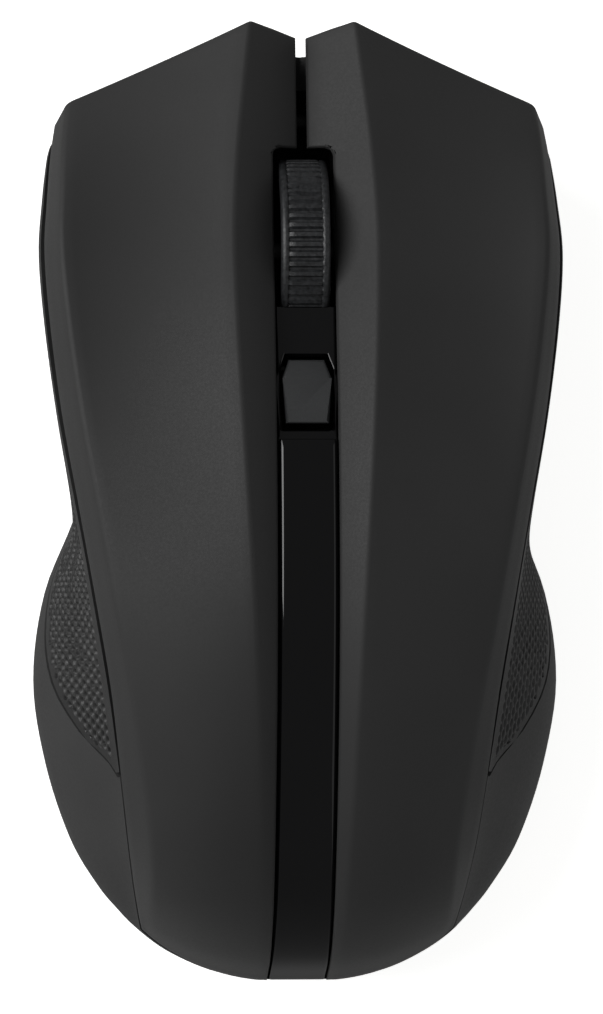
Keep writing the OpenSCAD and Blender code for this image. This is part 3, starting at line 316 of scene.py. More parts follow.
def sheet(us, columns, place):
    """An open grid whose points are place(u, column); each point keeps its row and column."""
    bm = bmesh.new()
    row = bm.verts.layers.int.new("row")
    column = bm.verts.layers.int.new("column")
    bmesh.ops.create_grid(
        bm, x_segments=len(us) - 1, y_segments=len(columns) - 1, size=1
    )
    for v in bm.verts:
        i = round((v.co.x + 1) / 2 * (len(us) - 1))
        j = round((v.co.y + 1) / 2 * (len(columns) - 1))
        v[row], v[column] = i, j
        v.co = place(us[i], columns[j])
    return bm, row, column


def line_of(bm, layer, index):
    """The edges that run along one row or column."""
    return [e for e in bm.edges if all(v[layer] == index for v in e.verts)]


def face_up(bm):
    """Turns an open sheet so that its faces look up."""
    bm.normal_update()
    if sum(f.normal.z * f.calc_area() for f in bm.faces) < 0:
        bmesh.ops.reverse_faces(bm, faces=bm.faces[:])
    bm.normal_update()


def round_edges(bm, edges, radius, segments=3):
    bmesh.ops.bevel(
        bm,
        geom=edges,
        offset=radius,
        offset_type="OFFSET",
        affect="EDGES",
        segments=segments,
        profile=0.5,
        material=-1,
        clamp_overlap=False,
        loop_slide=True,
    )


def cut_out(bm, outline):
    """Takes away what lies inside an upright prism over a convex outline, drawn anticlockwise.

    The longest sides cut first, so that the short ones only reach what is left inside.
    """
    inside = bm.faces[:]
    closed = list(zip(outline, outline[1:] + outline[:1]))
    closed.sort(key=lambda side: -math.dist(*side))
    for (x0, y0), (x1, y1) in closed:
        normal = Vector((y1 - y0, x0 - x1, 0)).normalized()
        place = Vector((x0, y0, 0))
        parts = set(inside)
        for f in inside:
            parts.update(f.verts)
            parts.update(f.edges)
        made = bmesh.ops.bisect_plane(
            bm, geom=list(parts), plane_co=place, plane_no=normal, dist=1e-5
        )
        inside = [
            f
            for f in made["geom"]
            if isinstance(f, bmesh.types.BMFace)
            and (f.calc_center_median() - place).dot(normal) < 0
        ]
    bmesh.ops.delete(bm, geom=inside, context="FACES")
    rim = [v for v in bm.verts if v.is_boundary]
    bmesh.ops.remove_doubles(bm, verts=rim, dist=0.06)


def thicken(bm, inner_of):
    """Gives an open sheet its wall: a copy of it at inner_of(point), joined along the rim."""
    bm.normal_update()
    inner = {tuple(round(x, 4) for x in v.co): inner_of(v) for v in bm.verts}
    rim = [e for e in bm.edges if e.is_boundary]
    made = bmesh.ops.extrude_face_region(
        bm, geom=bm.faces[:] + bm.edges[:] + bm.verts[:], use_keep_orig=True
    )
    for v in made["geom"]:
        if isinstance(v, bmesh.types.BMVert):
            v.co = inner[tuple(round(x, 4) for x in v.co)]
    bmesh.ops.recalc_face_normals(bm, faces=bm.faces[:])
    return rim


def to_left(bm):
    """Mirrors a piece of the right-hand side to the left."""
    bmesh.ops.scale(bm, vec=(-1, 1, 1), verts=bm.verts[:])
    bmesh.ops.reverse_faces(bm, faces=bm.faces[:])


def finish_piece(name, bm, body, slot, replaced, sharp=40):
    """Makes the object from millimetres, at the origin, gives it the finish of its slot, hangs it
    on its body and hides the CAD parts that it replaces.

    Edges bent by more than sharp degrees stay crisp.
    """
    bmesh.ops.scale(bm, vec=(MM, MM, MM), verts=bm.verts[:])
    for f in bm.faces:
        f.smooth = True
    mesh = bpy.data.meshes.new(name)
    bm.to_mesh(mesh)
    bm.free()
    mesh.set_sharp_from_angle(angle=math.radians(sharp))
    piece = bpy.data.objects.new(name, mesh)
    bpy.context.collection.objects.link(piece)
    mesh.materials.append(finish_for(slot))
    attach(piece, body)
    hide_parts(*replaced)
    return piece


# ---------------------------------------------------------------- finishes

# The noise texture seldom leaves this span.
NOISE_LOW, NOISE_HIGH = 0.3, 0.7

def linear(hex_value):
    """An sRGB hex value as linear red, green, blue and alpha."""
    parts = [int(hex_value[i : i + 2], 16) / 255 for i in (1, 3, 5)]
    return (
        *[p / 12.92 if p <= 0.04045 else ((p + 0.055) / 1.055) ** 2.4 for p in parts],
        1.0,
    )


def add_node(tree, kind, settings=None, links=None):
    """Adds a node. Settings name its sockets or its own values, and links name its sockets."""
    node = tree.nodes.new(kind)
    for key, value in (settings or {}).items():
        if isinstance(key, int) or key in node.inputs:
            node.inputs[key].default_value = value
        else:
            setattr(node, key, value)
    for key, source in (links or {}).items():
        tree.links.new(source, node.inputs[key])
    return node


def per_mm(size):
    """Texture scale for a pattern whose cells are this many millimetres across."""
    return 1 / (size * MM)


def begin(name):
    """An empty material, its tree, and object coordinates to draw patterns on."""
    material = bpy.data.materials.new(name)
    material.use_nodes = True
    material.node_tree.nodes.clear()
    tree = material.node_tree
    place = add_node(tree, "ShaderNodeTexCoord").outputs["Object"]
    place = add_node(tree, "ShaderNodeMapping", {}, {"Vector": place}).outputs["Vector"]
    return material, tree, place


def close(tree, values, links):
    """Ends a material with its shader: plain values, and links for what varies."""
    shader = add_node(tree, "ShaderNodeBsdfPrincipled", values, links)
    add_node(
        tree, "ShaderNodeOutputMaterial", {}, {"Surface": shader.outputs["BSDF"]}
    )


def clouds(tree, place, size, low, high):
    """Soft noise of one size in millimetres, spread between two values."""
    noise = add_node(tree, "ShaderNodeTexNoise", {"Scale": per_mm(size)}, {"Vector": place})
    return add_node(
        tree,
        "ShaderNodeMapRange",
        {"From Min": NOISE_LOW, "From Max": NOISE_HIGH, "To Min": low, "To Max": high},
        {"Value": noise.outputs["Fac"]},
    ).outputs["Result"]


def shades(tree, fac, dark, light):
    """A mix of two sRGB colours."""
    return add_node(
        tree,
        "ShaderNodeMix",
        {"data_type": "RGBA", 6: linear(dark), 7: linear(light)},
        {0: fac},
    ).outputs[2]


def relief(tree, height, depth):
    """Raises a surface by up to depth millimetres, following height from 0 to 1."""
    return add_node(
        tree, "ShaderNodeBump", {"Distance": depth * MM, "Strength": 1.0}, {"Height": height}
    ).outputs["Normal"]


def grain(tree, place, size, depth):
    """Relief of one size and depth, both in millimetres."""
    noise = add_node(tree, "ShaderNodeTexNoise", {"Scale": per_mm(size)}, {"Vector": place})
    return relief(tree, noise.outputs["Fac"], depth)


def polymer(name, dark, light, roughness, size, depth, cloud=9, values=None):
    """A moulded or painted polymer: two close shades, uneven gloss and a surface grain."""
    material, tree, place = begin(name)
    close(
        tree,
        values or {},
        {
            "Base Color": shades(tree, clouds(tree, place, cloud, 0, 1), dark, light),
            "Roughness": clouds(tree, place, size * 1.5, roughness[0], roughness[1]),
            "Normal": grain(tree, place, size, depth),
        },
    )
    return material


def metal(name, dark, light, roughness, size, depth, stretch=(1, 1, 1)):
    """A plated, drawn or rolled metal: uneven gloss and fine marks, drawn out along stretch."""
    material, tree, place = begin(name)
    place.node.inputs["Scale"].default_value = stretch
    close(
        tree,
        {"Metallic": 1.0},
        {
            "Base Color": shades(tree, clouds(tree, place, 4, 0, 1), dark, light),
            "Roughness": clouds(tree, place, size * 2, roughness[0], roughness[1]),
            "Normal": grain(tree, place, size, depth),
        },
    )
    return material


def board_finish():
    # Solder mask over etched copper: a glossy green film that stands up over the tracks.
    material, tree, place = begin("Solder mask over etched copper")
    tracks = add_node(
        tree,
        "ShaderNodeTexBrick",
        {"Scale": per_mm(6), "Mortar Size": 0.06, "Mortar Smooth": 0.3},
        {"Vector": place},
    ).outputs["Fac"]
    track_rise = 0.03
    close(
        tree,
        {"Coat Weight": 0.4},
        {
            "Base Color": shades(tree, tracks, "#12402a", "#1f6a41"),
            "Roughness": clouds(tree, place, 3, 0.28, 0.42),
            "Normal": relief(tree, tracks, track_rise),
        },
    )
    return material


def cell_finish():
    # Printed film shrunk on a steel can: a dark green body with a copper-coloured end band.
    material, tree, place = begin("Printed film shrunk on a steel can")
    along = add_node(tree, "ShaderNodeSeparateXYZ", {}, {0: place}).outputs["Y"]
    low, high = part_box("left_cell")
    band_share = 0.3
    band = add_node(
        tree,
        "ShaderNodeMath",
        {"operation": "GREATER_THAN", 1: high.y - band_share * (high.y - low.y)},
        {0: along},
    ).outputs[0]
    tint = add_node(
        tree,
        "ShaderNodeMix",
        {"data_type": "RGBA", 7: linear("#a8672f")},
        {0: band, 6: shades(tree, clouds(tree, place, 8, 0, 1), "#163524", "#1f4831")},
    ).outputs[2]
    close(
        tree,
        {"Coat Weight": 0.3},
        {
            "Base Color": tint,
            "Roughness": clouds(tree, place, 2, 0.25, 0.4),
            "Normal": grain(tree, place, 3, 0.02),
        },
    )
    return material


# Every finish, by the record's slot: real material and process, dark and light shade, least and
# most roughness, grain size and depth, size of the clouds in the colour, then other values.
# All sizes are in millimetres.
FINISHES = {
    # Polyurethane soft-touch paint on ABS: no mirror image, a faint even sparkle, a soft fall-off.
    "soft_touch_cover": lambda: polymer(
        "Soft-touch paint on moulded ABS", "#282828", "#2b2b2b", (0.58, 0.66), 0.18, 0.005, 14,
        {"Sheen Weight": 0.05, "Sheen Roughness": 0.5, "Specular IOR Level": 0.36},
    ),
    # Spark-eroded mould texture on ABS: matt, slightly coarser than the paint.
    "matt_side": lambda: polymer(
        "Spark-eroded matt ABS", "#303030", "#343434", (0.5, 0.6), 0.24, 0.008, 12
    ),
    # Coarser eroded texture, as on the undersides of housings.
    "textured_base": lambda: polymer(
        "Coarse eroded ABS", "#151617", "#1b1c1d", (0.5, 0.66), 0.4, 0.03, 10
    ),
    # High-polish moulded ABS, piano black: a mirror over a nearly black body.
    "gloss_black": lambda: polymer(
        "High-polish moulded ABS", "#040405", "#060607", (0.05, 0.09), 6, 0.002, 20
    ),
    # Less polish than the strip: the light is drawn out along the window's edge.
    "bezel_black": lambda: polymer(
        "Polished moulded polycarbonate", "#050506", "#080809", (0.1, 0.14), 2, 0.002, 12
    ),
    "inner_black": lambda: polymer(
        "Unpolished moulded ABS", "#0b0b0c", "#101011", (0.5, 0.62), 0.6, 0.02
    ),
    # Overmoulded thermoplastic rubber: dull, with a dusty grain on the ribs between the pits.
    "grip_rubber": lambda: polymer(
        "Overmoulded thermoplastic rubber", "#1c1c1c", "#252525", (0.42, 0.54), 0.22, 0.016, 8,
        {"Sheen Weight": 0.05, "Sheen Roughness": 0.5},
    ),
    # Silicone straight from a blasted mould, half dull and half glinting. The fine light flecks in
    # its colour are painted glints of the blasted texture; the dark ground between them is the
    # rubber's own colour.
    "wheel_rubber": lambda: polymer(
        "Moulded silicone rubber with painted glints", "#141516", "#2f3032", (0.32, 0.55), 0.18, 0.03, 0.4
    ),
    "hub_black": lambda: polymer("Moulded acetal", "#0c0c0d", "#111112", (0.32, 0.42), 0.8, 0.01),
    "carriage_black": lambda: polymer(
        "Black acetal copolymer", "#0d0d0e", "#131314", (0.36, 0.46), 0.8, 0.01
    ),
    "matt_button": lambda: polymer(
        "Fine eroded grey ABS", "#2c2d2e", "#303132", (0.42, 0.52), 0.2, 0.008, 6
    ),
    "switch_black": lambda: polymer(
        "Glass-filled nylon", "#17181a", "#202123", (0.4, 0.55), 0.3, 0.02, 3
    ),
    "plunger_white": lambda: polymer(
        "Natural acetal", "#cfcabb", "#ddd9cc", (0.3, 0.4), 0.5, 0.01, 3,
        {"Subsurface Weight": 0.1, "Subsurface Scale": 0.001},
    ),
    "plunger_amber": lambda: polymer(
        "Tinted moulded nylon", "#a34a27", "#b9562f", (0.32, 0.44), 0.5, 0.01, 3
    ),
    "emitter_resin": lambda: polymer(
        "Cast infrared epoxy", "#20242c", "#2c323d", (0.1, 0.18), 1, 0.004, 4
    ),
    "board_green": board_finish,
    "chip_black": lambda: polymer(
        "Transfer-moulded epoxy", "#141516", "#1b1c1d", (0.45, 0.6), 0.25, 0.015, 3
    ),
    # Injection-moulded acrylic: clear, with the faint waves of a moulded optic.
    "clear_lens": lambda: polymer(
        "Moulded clear acrylic", "#dfe8ec", "#edf3f5", (0.03, 0.07), 4, 0.004, 5,
        {"Transmission Weight": 0.85, "IOR": 1.49},
    ),
    "led_red": lambda: polymer(
        "Cast red epoxy", "#a31d18", "#c23028", (0.08, 0.14), 1.5, 0.004, 3,
        {"Transmission Weight": 0.35, "IOR": 1.54},
    ),
    "capacitor_sleeve": lambda: polymer(
        "Shrunk vinyl sleeve", "#2a2740", "#38344f", (0.25, 0.4), 0.8, 0.015, 3
    ),
    "knob_grey": lambda: polymer(
        "Moulded grey ABS", "#8d8f92", "#9b9da0", (0.4, 0.52), 0.3, 0.012, 4
    ),
    "cell_sleeve": cell_finish,
    "lead_red": lambda: polymer(
        "Extruded red vinyl", "#9c1f1c", "#b52824", (0.35, 0.48), 0.6, 0.01, 3
    ),
    "lead_black": lambda: polymer(
        "Extruded black vinyl", "#101011", "#18181a", (0.35, 0.48), 0.6, 0.01, 3
    ),
    # Skived fluoropolymer: waxy, with a fine grain.
    "glide_ptfe": lambda: polymer(
        "Skived fluoropolymer", "#7c7e82", "#888a8e", (0.32, 0.44), 0.4, 0.008, 5,
        {"Subsurface Weight": 0.05, "Subsurface Scale": 0.001},
    ),
    "steel": lambda: metal(
        "Nickel-plated rolled steel", "#a9abae", "#c2c4c7", (0.2, 0.34), 0.4, 0.006, (1, 0.15, 1)
    ),
}
made_finishes = {}


def finish_for(slot):
    if slot not in made_finishes:
        made_finishes[slot] = FINISHES[slot]()
    return made_finishes[slot]


# ---------------------------------------------------------------- settings


class MouseSizes(bpy.types.PropertyGroup):
    """Sizes that a user of the model may change"""

    ridge_round: FloatProperty(
        name="Ridge rounding", description="Radius along the ridge of each cover",
        default=0.4 * MM, min=0.1 * MM, max=MM, unit="LENGTH", precision=5,
    )
    crease_round: FloatProperty(
        name="Crease rounding", description="Radius along the outer crease of each cover",
        default=0.55 * MM, min=0.1 * MM, max=MM, unit="LENGTH", precision=5,
    )
    rim_round: FloatProperty(
        name="Rim rounding", description="Radius round the rim of each cover",
        default=0.3 * MM, min=0.1 * MM, max=0.5 * MM, unit="LENGTH", precision=5,
    )
    slot_corner: FloatProperty(
        name="Slot corner", description="Radius of the front corners of the wheel's slot",
        default=1.0 * MM, min=0.2 * MM, max=2 * MM, unit="LENGTH", precision=5,
    )
    rib_count: IntProperty(
        name="Ribs", description="Ribs round the tyre", default=60, min=40, max=80
    )
    rib_depth: FloatProperty(
        name="Rib depth", description="Height of a rib of the tyre over its root",
        default=0.35 * MM, min=0.1 * MM, max=0.5 * MM, unit="LENGTH", precision=5,
    )
    pit_pitch: FloatProperty(
        name="Pit pitch", description="Distance between the pits of a grip, along it",
        default=1.25 * MM, min=0.8 * MM, max=2 * MM, unit="LENGTH", precision=5,
    )
    pit_depth: FloatProperty(
        name="Pit depth", description="Depth of the pits of a grip",
        default=0.36 * MM, min=0.05 * MM, max=0.5 * MM, unit="LENGTH", precision=5,
    )


class MouseColours(bpy.types.PropertyGroup):
    """Colours of the stage"""

    floor: FloatVectorProperty(
        name="Floor", description="Colour of the floor", subtype="COLOR", size=4,
        default=linear("#f4f4f3"), min=0, max=1,
    )
    light: FloatVectorProperty(
        name="Light", description="Colour of the studio lights", subtype="COLOR", size=4,
        default=linear("#ffffff"), min=0, max=1,
    )


# ---------------------------------------------------------------- pieces


class MOUSE_OT_covers(bpy.types.Operator):
    """Models the two button covers, with their ridges, scoops, chamfers and the wheel's slot"""

    bl_idname = "mouse.covers"
    bl_label = "Button covers"

    def execute(self, context):
        sizes = context.scene.mouse_sizes
        for side, name in ((1, "right"), (-1, "left")):
            self.cover(sizes, side, name)
        return {"FINISHED"}

    def cover(self, sizes, side, name):
        rows_per_station, scoop_steps, chamfer_steps = 6, 12, 3
        us = [i / rows_per_station for i in range(rows_per_station * LAST_ROW + 1)]
        scoop = [1 + i / scoop_steps for i in range(scoop_steps + 1)]
        chamfer = [2 + i / chamfer_steps for i in range(1, chamfer_steps + 1)]
        bm, _, column = sheet(
            us, [0] + scoop + chamfer, lambda u, v: cover_point(u, v, NOSE_SLOT_HALF)
        )
        ridge, crease = line_of(bm, column, 1), line_of(bm, column, 1 + scoop_steps)
        corner = sizes.slot_corner / MM
        arc = [
            (
                SLOT_HALF - corner + corner * math.cos(math.radians(a)),
                SLOT_FRONT_Y - corner + corner * math.sin(math.radians(a)),
            )
            for a in range(0, 91, 15)
        ]
        past = 9  # well past the middle and the tail
        slot_rear = [(-past, SLOT_FRONT_Y), (-past, TAIL_Y - past), (SLOT_HALF, TAIL_Y - past)]
        cut_out(bm, arc + slot_rear)
        round_edges(bm, ridge, sizes.ridge_round / MM)
        round_edges(bm, crease, sizes.crease_round / MM)
        front_y = COVER_ROWS[0][3].y
        face_up(bm)

        def inner(v):
            """The rim goes straight down along the slot, and level along the outer edge."""
            if v.is_boundary and v.co.x < SLOT_HALF + 2 * NEAR:
                return v.co - Vector((0, 0, COVER_WALL))
            if v.is_boundary and v.co.y < front_y + NEAR:
                return v.co - COVER_WALL * flat(v.normal)
            return v.co - COVER_WALL * v.normal

        rim = thicken(bm, inner)
        round_edges(bm, rim, sizes.rim_round / MM)
        if side < 0:
            to_left(bm)
        finish_piece(
            f"{name}_cover_shell", bm, f"{name}_button", "soft_touch_cover",
            [f"{name}_button_cover"],
        )


class MOUSE_OT_side(bpy.types.Operator):
    """Models the side frame all round the body, with the recesses for the grips"""

    bl_idname = "mouse.side"
    bl_label = "Side frame"

    def execute(self, context):
        step = 1 / 6
        ledge = 0.012  # how close the two rows or columns of a recess's edge lie
        us = [i * step for i in range(round(LAST_SIDE / step) + 1)]
        us += [GRIP_FRONT_U - ledge, GRIP_FRONT_U, GRIP_REAR_U + ledge]
        us = sorted(set(round(u, 5) for u in us))
        upper = (0, 0.15, 0.4, 0.7, 1)
        lower = (0, 0.2, 0.4, 0.6, 0.8, 1)
        columns = (
            [("lip", 0), ("lip", 1), ("lip", 2)]
            + [("grip", w) for w in upper]
            + [("side", w) for w in lower]
            + [("foot", w) for w in (1.3, 1.6, 1.85, 2)]
        )
        lip_in, lip_wall, lip_under, lip_root = 3.0, 0.8, 0.9, 1.4
        recess = GRIP_WALL + 0.15

        def rise(u):
            """The lip stands up inside the cover, and dips under its tail."""
            return ramp(u, ((15, 0.7), (16, -2.2)))

        def dip(u):
            return min(0, rise(u))

        def wall_place(kind, w, share):
            """Grip columns run from the seam to the grip's low edge, side columns from there."""
            if kind == "grip":
                return share * w
            return share + (1 - share) * w + (ledge if w == 0 else 0)

        def outer(u, column):
            kind, w = column
            share = side_station(u)[5]
            if kind == "lip":
                n = flat(side_normal(u, 0))
                depth, up = (
                    (lip_in, rise(u)), (lip_in, dip(u) - 0.01),
                    (lip_in * 0.3, dip(u) * 0.3 - 0.005),
                )[w]
                return side_point(u, 0) - n * depth + Vector((0, 0, up))
            if kind == "foot":
                return side_point(u, w)
            v = wall_place(kind, w, share)
            sunk = kind == "grip" and GRIP_FRONT_U - 0.001 < u < GRIP_REAR_U + 0.001
            return side_point(u, v) - side_normal(u, v) * (recess if sunk else 0)

        def inner(u, column):
            kind, w = column
            share = side_station(u)[5]
            if kind == "lip":
                n = flat(side_normal(u, 0))
                up = (rise(u), dip(u) - 0.01, dip(u) - lip_under)[w]
                return side_point(u, 0) - n * (lip_in + lip_wall) + Vector((0, 0, up))
            if kind == "foot":
                return side_point(u, w) - side_out(u) * FRAME_WALL
            if kind == "grip" and w == 0:
                n = flat(side_normal(u, 0))
                down = Vector((0, 0, dip(u) - lip_root))
                return side_point(u, 0) - n * (lip_in + lip_wall) + down
            v = wall_place(kind, w, share)
            return side_point(u, v) - side_normal(u, v) * FRAME_WALL

        bm, row, column = sheet(us, columns, outer)
        bmesh.ops.mirror(
            bm, geom=bm.verts[:] + bm.edges[:] + bm.faces[:], axis="X", merge_dist=0.02
        )
        bmesh.ops.recalc_face_normals(bm, faces=bm.faces[:])

        def inner_of(v):
            p = inner(us[v[row]], columns[v[column]])
            return Vector((-p.x if v.co.x < 0 else p.x, p.y, p.z))

        thicken(bm, inner_of)
        finish_piece("side_body", bm, "base", "matt_side", ["side_frame"], sharp=32)
        return {"FINISHED"}


class MOUSE_OT_grips(bpy.types.Operator):
    """Models the two rubber grips, with a lattice of pits inside a smooth border"""

    bl_idname = "mouse.grips"
    bl_label = "Side grips"

    def execute(self, context):
        sizes = context.scene.mouse_sizes
        for side, name in ((1, "right"), (-1, "left")):
            self.grip(sizes, side, name)
        return {"FINISHED"}

    def grip(self, sizes, side, name):
        end_gap, length_v = 0.05, 0.2  # length_v is the line that the grip is measured along
        first, last = GRIP_FRONT_U + end_gap, GRIP_REAR_U - end_gap
        rows, across = 520, 70
        us = [first + (last - first) * i / rows for i in range(rows + 1)]
        columns = [j / across for j in range(across + 1)]
        along = [0.0]
        for a, b in zip(us, us[1:]):
            step = side_point(b, length_v) - side_point(a, length_v)
            along.append(along[-1] + step.length)
        length = along[-1]
        pitch, depth = sizes.pit_pitch / MM, sizes.pit_depth / MM
        spacing, border = 0.72 * pitch, 1.2
        pit_long, pit_wide = 0.38 * pitch, 0.31 * spacing
        pit_rim, pit_flank = 1.15, 0.5

        def surface(u, w):
            # The open channel above the pad is wider towards the front.
            start, end = ramp(u, ((8.5, 0.065), (12, 0.03))), 0.97
            v = side_station(u)[5] * (start + (end - start) * w)
            return side_point(u, v), side_normal(u, v)

        lengths = []
        for u in us:
            points = [surface(u, w)[0] for w in columns]
            run = [0.0]
            for a, b in zip(points, points[1:]):
                run.append(run[-1] + (b - a).length)
            lengths.append(run)

        def pit(i, j):
            """Depth at a point: long pits in lines, each line half a pitch on from the last."""
            s, t, width = along[i], lengths[i][j], lengths[i][-1]
            line = round(t / spacing)
            place = s / pitch - 0.5 * (line % 2)
            ds, dt = (place - round(place)) * pitch, t - line * spacing
            centre_t = line * spacing
            centre_s = s - ds
            edge = min(centre_t, width - centre_t, centre_s, length - centre_s)
            if edge < border:
                return 0
            out = math.hypot(ds / pit_long, dt / pit_wide)
            return depth * min(1, max(0, (pit_rim - out) / pit_flank))

        bm, row, column = sheet(us, columns, lambda u, w: surface(u, w)[0])
        for v in bm.verts:
            i, j = v[row], v[column]
            p, n = surface(us[i], columns[j])
            v.co = p - n * pit(i, j)
        bmesh.ops.recalc_face_normals(bm, faces=bm.faces[:])

        def inner(v):
            p, n = surface(us[v[row]], columns[v[column]])
            return p - n * GRIP_WALL

        thicken(bm, inner)
        if side < 0:
            to_left(bm)
        finish_piece(
            f"{name}_grip_pad", bm, "base", "grip_rubber", [f"{name}_grip"], sharp=50
        )


class MOUSE_OT_tyre(bpy.types.Operator):
    """Models the tyre: a spun ring with rounded shoulders and a ribbed band"""

    bl_idname = "mouse.tyre"
    bl_label = "Wheel tyre"

    def execute(self, context):
        sizes = context.scene.mouse_sizes
        depth = sizes.rib_depth / MM
        half, root = WHEEL_W / 2, WHEEL_R - depth
        band = 0.72 * half
        bore, bore_bevel = WHEEL_R - 2, 0.15
        margin = WHEEL_R - 0.06
        edge_round = 0.5
        rib_half, rib_flank, rib_end_share = 0.68, 0.2, 0.6
        shoulder = [(half - bore_bevel, bore), (half, bore + bore_bevel)] + [
            (
                half - edge_round * (1 - math.cos(math.radians(a))),
                margin - edge_round * (1 - math.sin(math.radians(a))),
            )
            for a in (0, 18, 36, 54, 72, 90)
        ] + [(band + 0.1, margin), (band + 0.02, margin - 0.05)]
        top = [(band - 0.1, root), (band - 0.3, root), (0.5 * band, root), (0, root)]
        right = shoulder + top
        profile = right + [(-x, r) for x, r in reversed(right[:-1])]
        bm = bmesh.new()
        points = [bm.verts.new((x, WHEEL.y, WHEEL.z + r)) for x, r in profile]
        edges = [bm.edges.new(pair) for pair in zip(points, points[1:] + points[:1])]
        bmesh.ops.spin(
            bm, geom=points + edges, cent=WHEEL, axis=(1, 0, 0), angle=2 * math.pi,
            steps=10 * sizes.rib_count, use_merge=True, use_normal_flip=False,
        )
        bmesh.ops.remove_doubles(bm, verts=bm.verts[:], dist=1e-4)
        bmesh.ops.recalc_face_normals(bm, faces=bm.faces[:])
        for v in bm.verts:
            arm = Vector((0, v.co.y - WHEEL.y, v.co.z - WHEEL.z))
            if arm.length < root - 0.02 or abs(v.co.x) > band - 0.08:
                continue
            turn = math.atan2(arm.y, arm.z) * sizes.rib_count / (2 * math.pi)
            phase = abs((turn % 1) - 0.5) * 2
            lift = min(1, max(0, (rib_half - phase) / rib_flank))
            lift = lift * lift * (3 - 2 * lift)
            if abs(v.co.x) > band - 0.2:
                lift *= rib_end_share
            v.co += arm.normalized() * depth * lift
        finish_piece("ribbed_tyre", bm, "wheel", "wheel_rubber", ["wheel_tyre"], sharp=38)
        return {"FINISHED"}


class MOUSE_OT_strip(bpy.types.Operator):
    """Models the gloss strip between the covers"""

    bl_idname = "mouse.strip"
    bl_label = "Centre strip"

    def execute(self, context):
        first = cover_u(STRIP_FRONT_Y)
        rows = 72
        us = [first + (LAST_ROW - first) * i / rows for i in range(rows + 1)]
        sink, wall, end_round = 0.25, 1.5, 0.18
        wide, deep = 0.55, 0.45  # of the rounding along each side
        arc = [math.radians(a) for a in (0, 12, 24, 36, 48, 60, 75, 90)]
        edge = [(1 - wide / STRIP_HALF * (1 - math.sin(a)), deep * (1 - math.cos(a))) for a in arc]
        drop = dict(edge)
        right = [c for c, _ in edge]
        columns = [-c for c in reversed(right)] + [-0.3, 0.3] + right

        def place(u, c):
            p = cover_point(u, 0)
            return Vector((c * STRIP_HALF, p.y, p.z - sink - drop.get(abs(c), 0)))

        bm, row, _ = sheet(us, columns, place)
        face_up(bm)

        def inner(v):
            u = us[v[row]]
            a, b = place(max(first, u - 0.1), 0), place(min(LAST_ROW, u + 0.1), 0)
            n = Vector((0, b.z - a.z, a.y - b.y)).normalized()
            top = place(u, 0)
            if v[row] == rows:
                return v.co + Vector((0, wall, 0))
            return Vector((v.co.x, top.y, top.z)) - wall * n

        rim = thicken(bm, inner)
        ends = [e for e in rim if all(v[row] in (0, rows) for v in e.verts)]
        round_edges(bm, ends, end_round)
        finish_piece("gloss_strip", bm, "base", "gloss_black", ["centre_strip"], sharp=30)
        return {"FINISHED"}


class MOUSE_OT_bezel(bpy.types.Operator):
    """Models the plate round the resolution button, with its six-sided window"""

    bl_idname = "mouse.bezel"
    bl_label = "Button bezel"

    def execute(self, context):
        half, wall, rim_round = STRIP_HALF + 0.12, 1.2, 0.24
        rear_y = box_mm("dpi_bezel")[0].y
        bm, _, _ = sheet(
            [rear_y, BEZEL_FRONT_Y], [-half, half], lambda y, x: Vector((x, y, bezel_z(y)))
        )
        window = [
            (-2.35, 4.2), (-3.02, 2.1), (-3.08, 0.3), (-2.85, -3.5), (-2.75, -4.2),
            (2.75, -4.2), (2.85, -3.5), (3.08, 0.3), (3.02, 2.1), (2.35, 4.2),
        ]
        cut_out(bm, [(x, KEY_Y + y) for x, y in window])
        face_up(bm)
        down = Vector((0, BEZEL_SLOPE, 1)).normalized() * wall
        rim = thicken(bm, lambda v: v.co - down)
        round_edges(bm, rim, rim_round)
        finish_piece("key_bezel", bm, "base", "bezel_black", ["dpi_bezel"], sharp=30)
        return {"FINISHED"}


class MOUSE_OT_key(bpy.types.Operator):
    """Models the resolution button, with a crease across its top"""

    bl_idname = "mouse.key"
    bl_label = "Resolution button"

    def execute(self, context):
        half, reach = 2.7, KEY_LEN / 2
        stands, skirt_deep, edge_round = 1.1, 2.5, 0.32
        crease_share, front_slope = 0.42, 0.14
        top = bezel_z(KEY_Y) + stands
        right = [(0.87 * half, -reach), (half, reach * crease_share), (0.72 * half, reach)]
        outline = [(-x, y) for x, y in reversed(right)] + right
        bm = bmesh.new()
        face = bm.faces.new(
            [bm.verts.new((x, KEY_Y + y, top - y * BEZEL_SLOPE)) for x, y in outline]
        )
        bmesh.ops.recalc_face_normals(bm, faces=[face])
        if face.normal.z < 0:
            bmesh.ops.reverse_faces(bm, faces=[face])
        crease_y = KEY_Y + crease_share * reach
        bmesh.ops.bisect_plane(
            bm, geom=bm.faces[:] + bm.edges[:] + bm.verts[:],
            plane_co=(0, crease_y, 0), plane_no=(0, 1, 0),
        )
        for v in bm.verts:
            over = v.co.y - crease_y
            if over > NEAR:
                v.co.z -= front_slope * over
        skirt = bezel_z(KEY_Y + reach) - skirt_deep
        rim = thicken(bm, lambda v: Vector((v.co.x, v.co.y, skirt)))
        crisp = math.radians(30)
        upper = [e for e in bm.edges if all(v.co.z > skirt + 1 for v in e.verts)]
        corners = {
            e for e in upper if len(e.link_faces) == 2 and e.calc_face_angle(0) > crisp
        }
        round_edges(bm, list(set(rim) | corners), edge_round)
        # The post that meets its switch. It reaches a little into the button.
        post_r, post_top = 1.2, skirt + 0.4
        bmesh.ops.create_cone(
            bm, cap_ends=True, segments=32, radius1=post_r, radius2=post_r,
            depth=post_top - KEY_LOW.z,
            matrix=Matrix.Translation((0, KEY_Y, (KEY_LOW.z + post_top) / 2)),
        )
        finish_piece("resolution_key", bm, "dpi_key", "matt_button", ["dpi_button"], sharp=30)
        return {"FINISHED"}


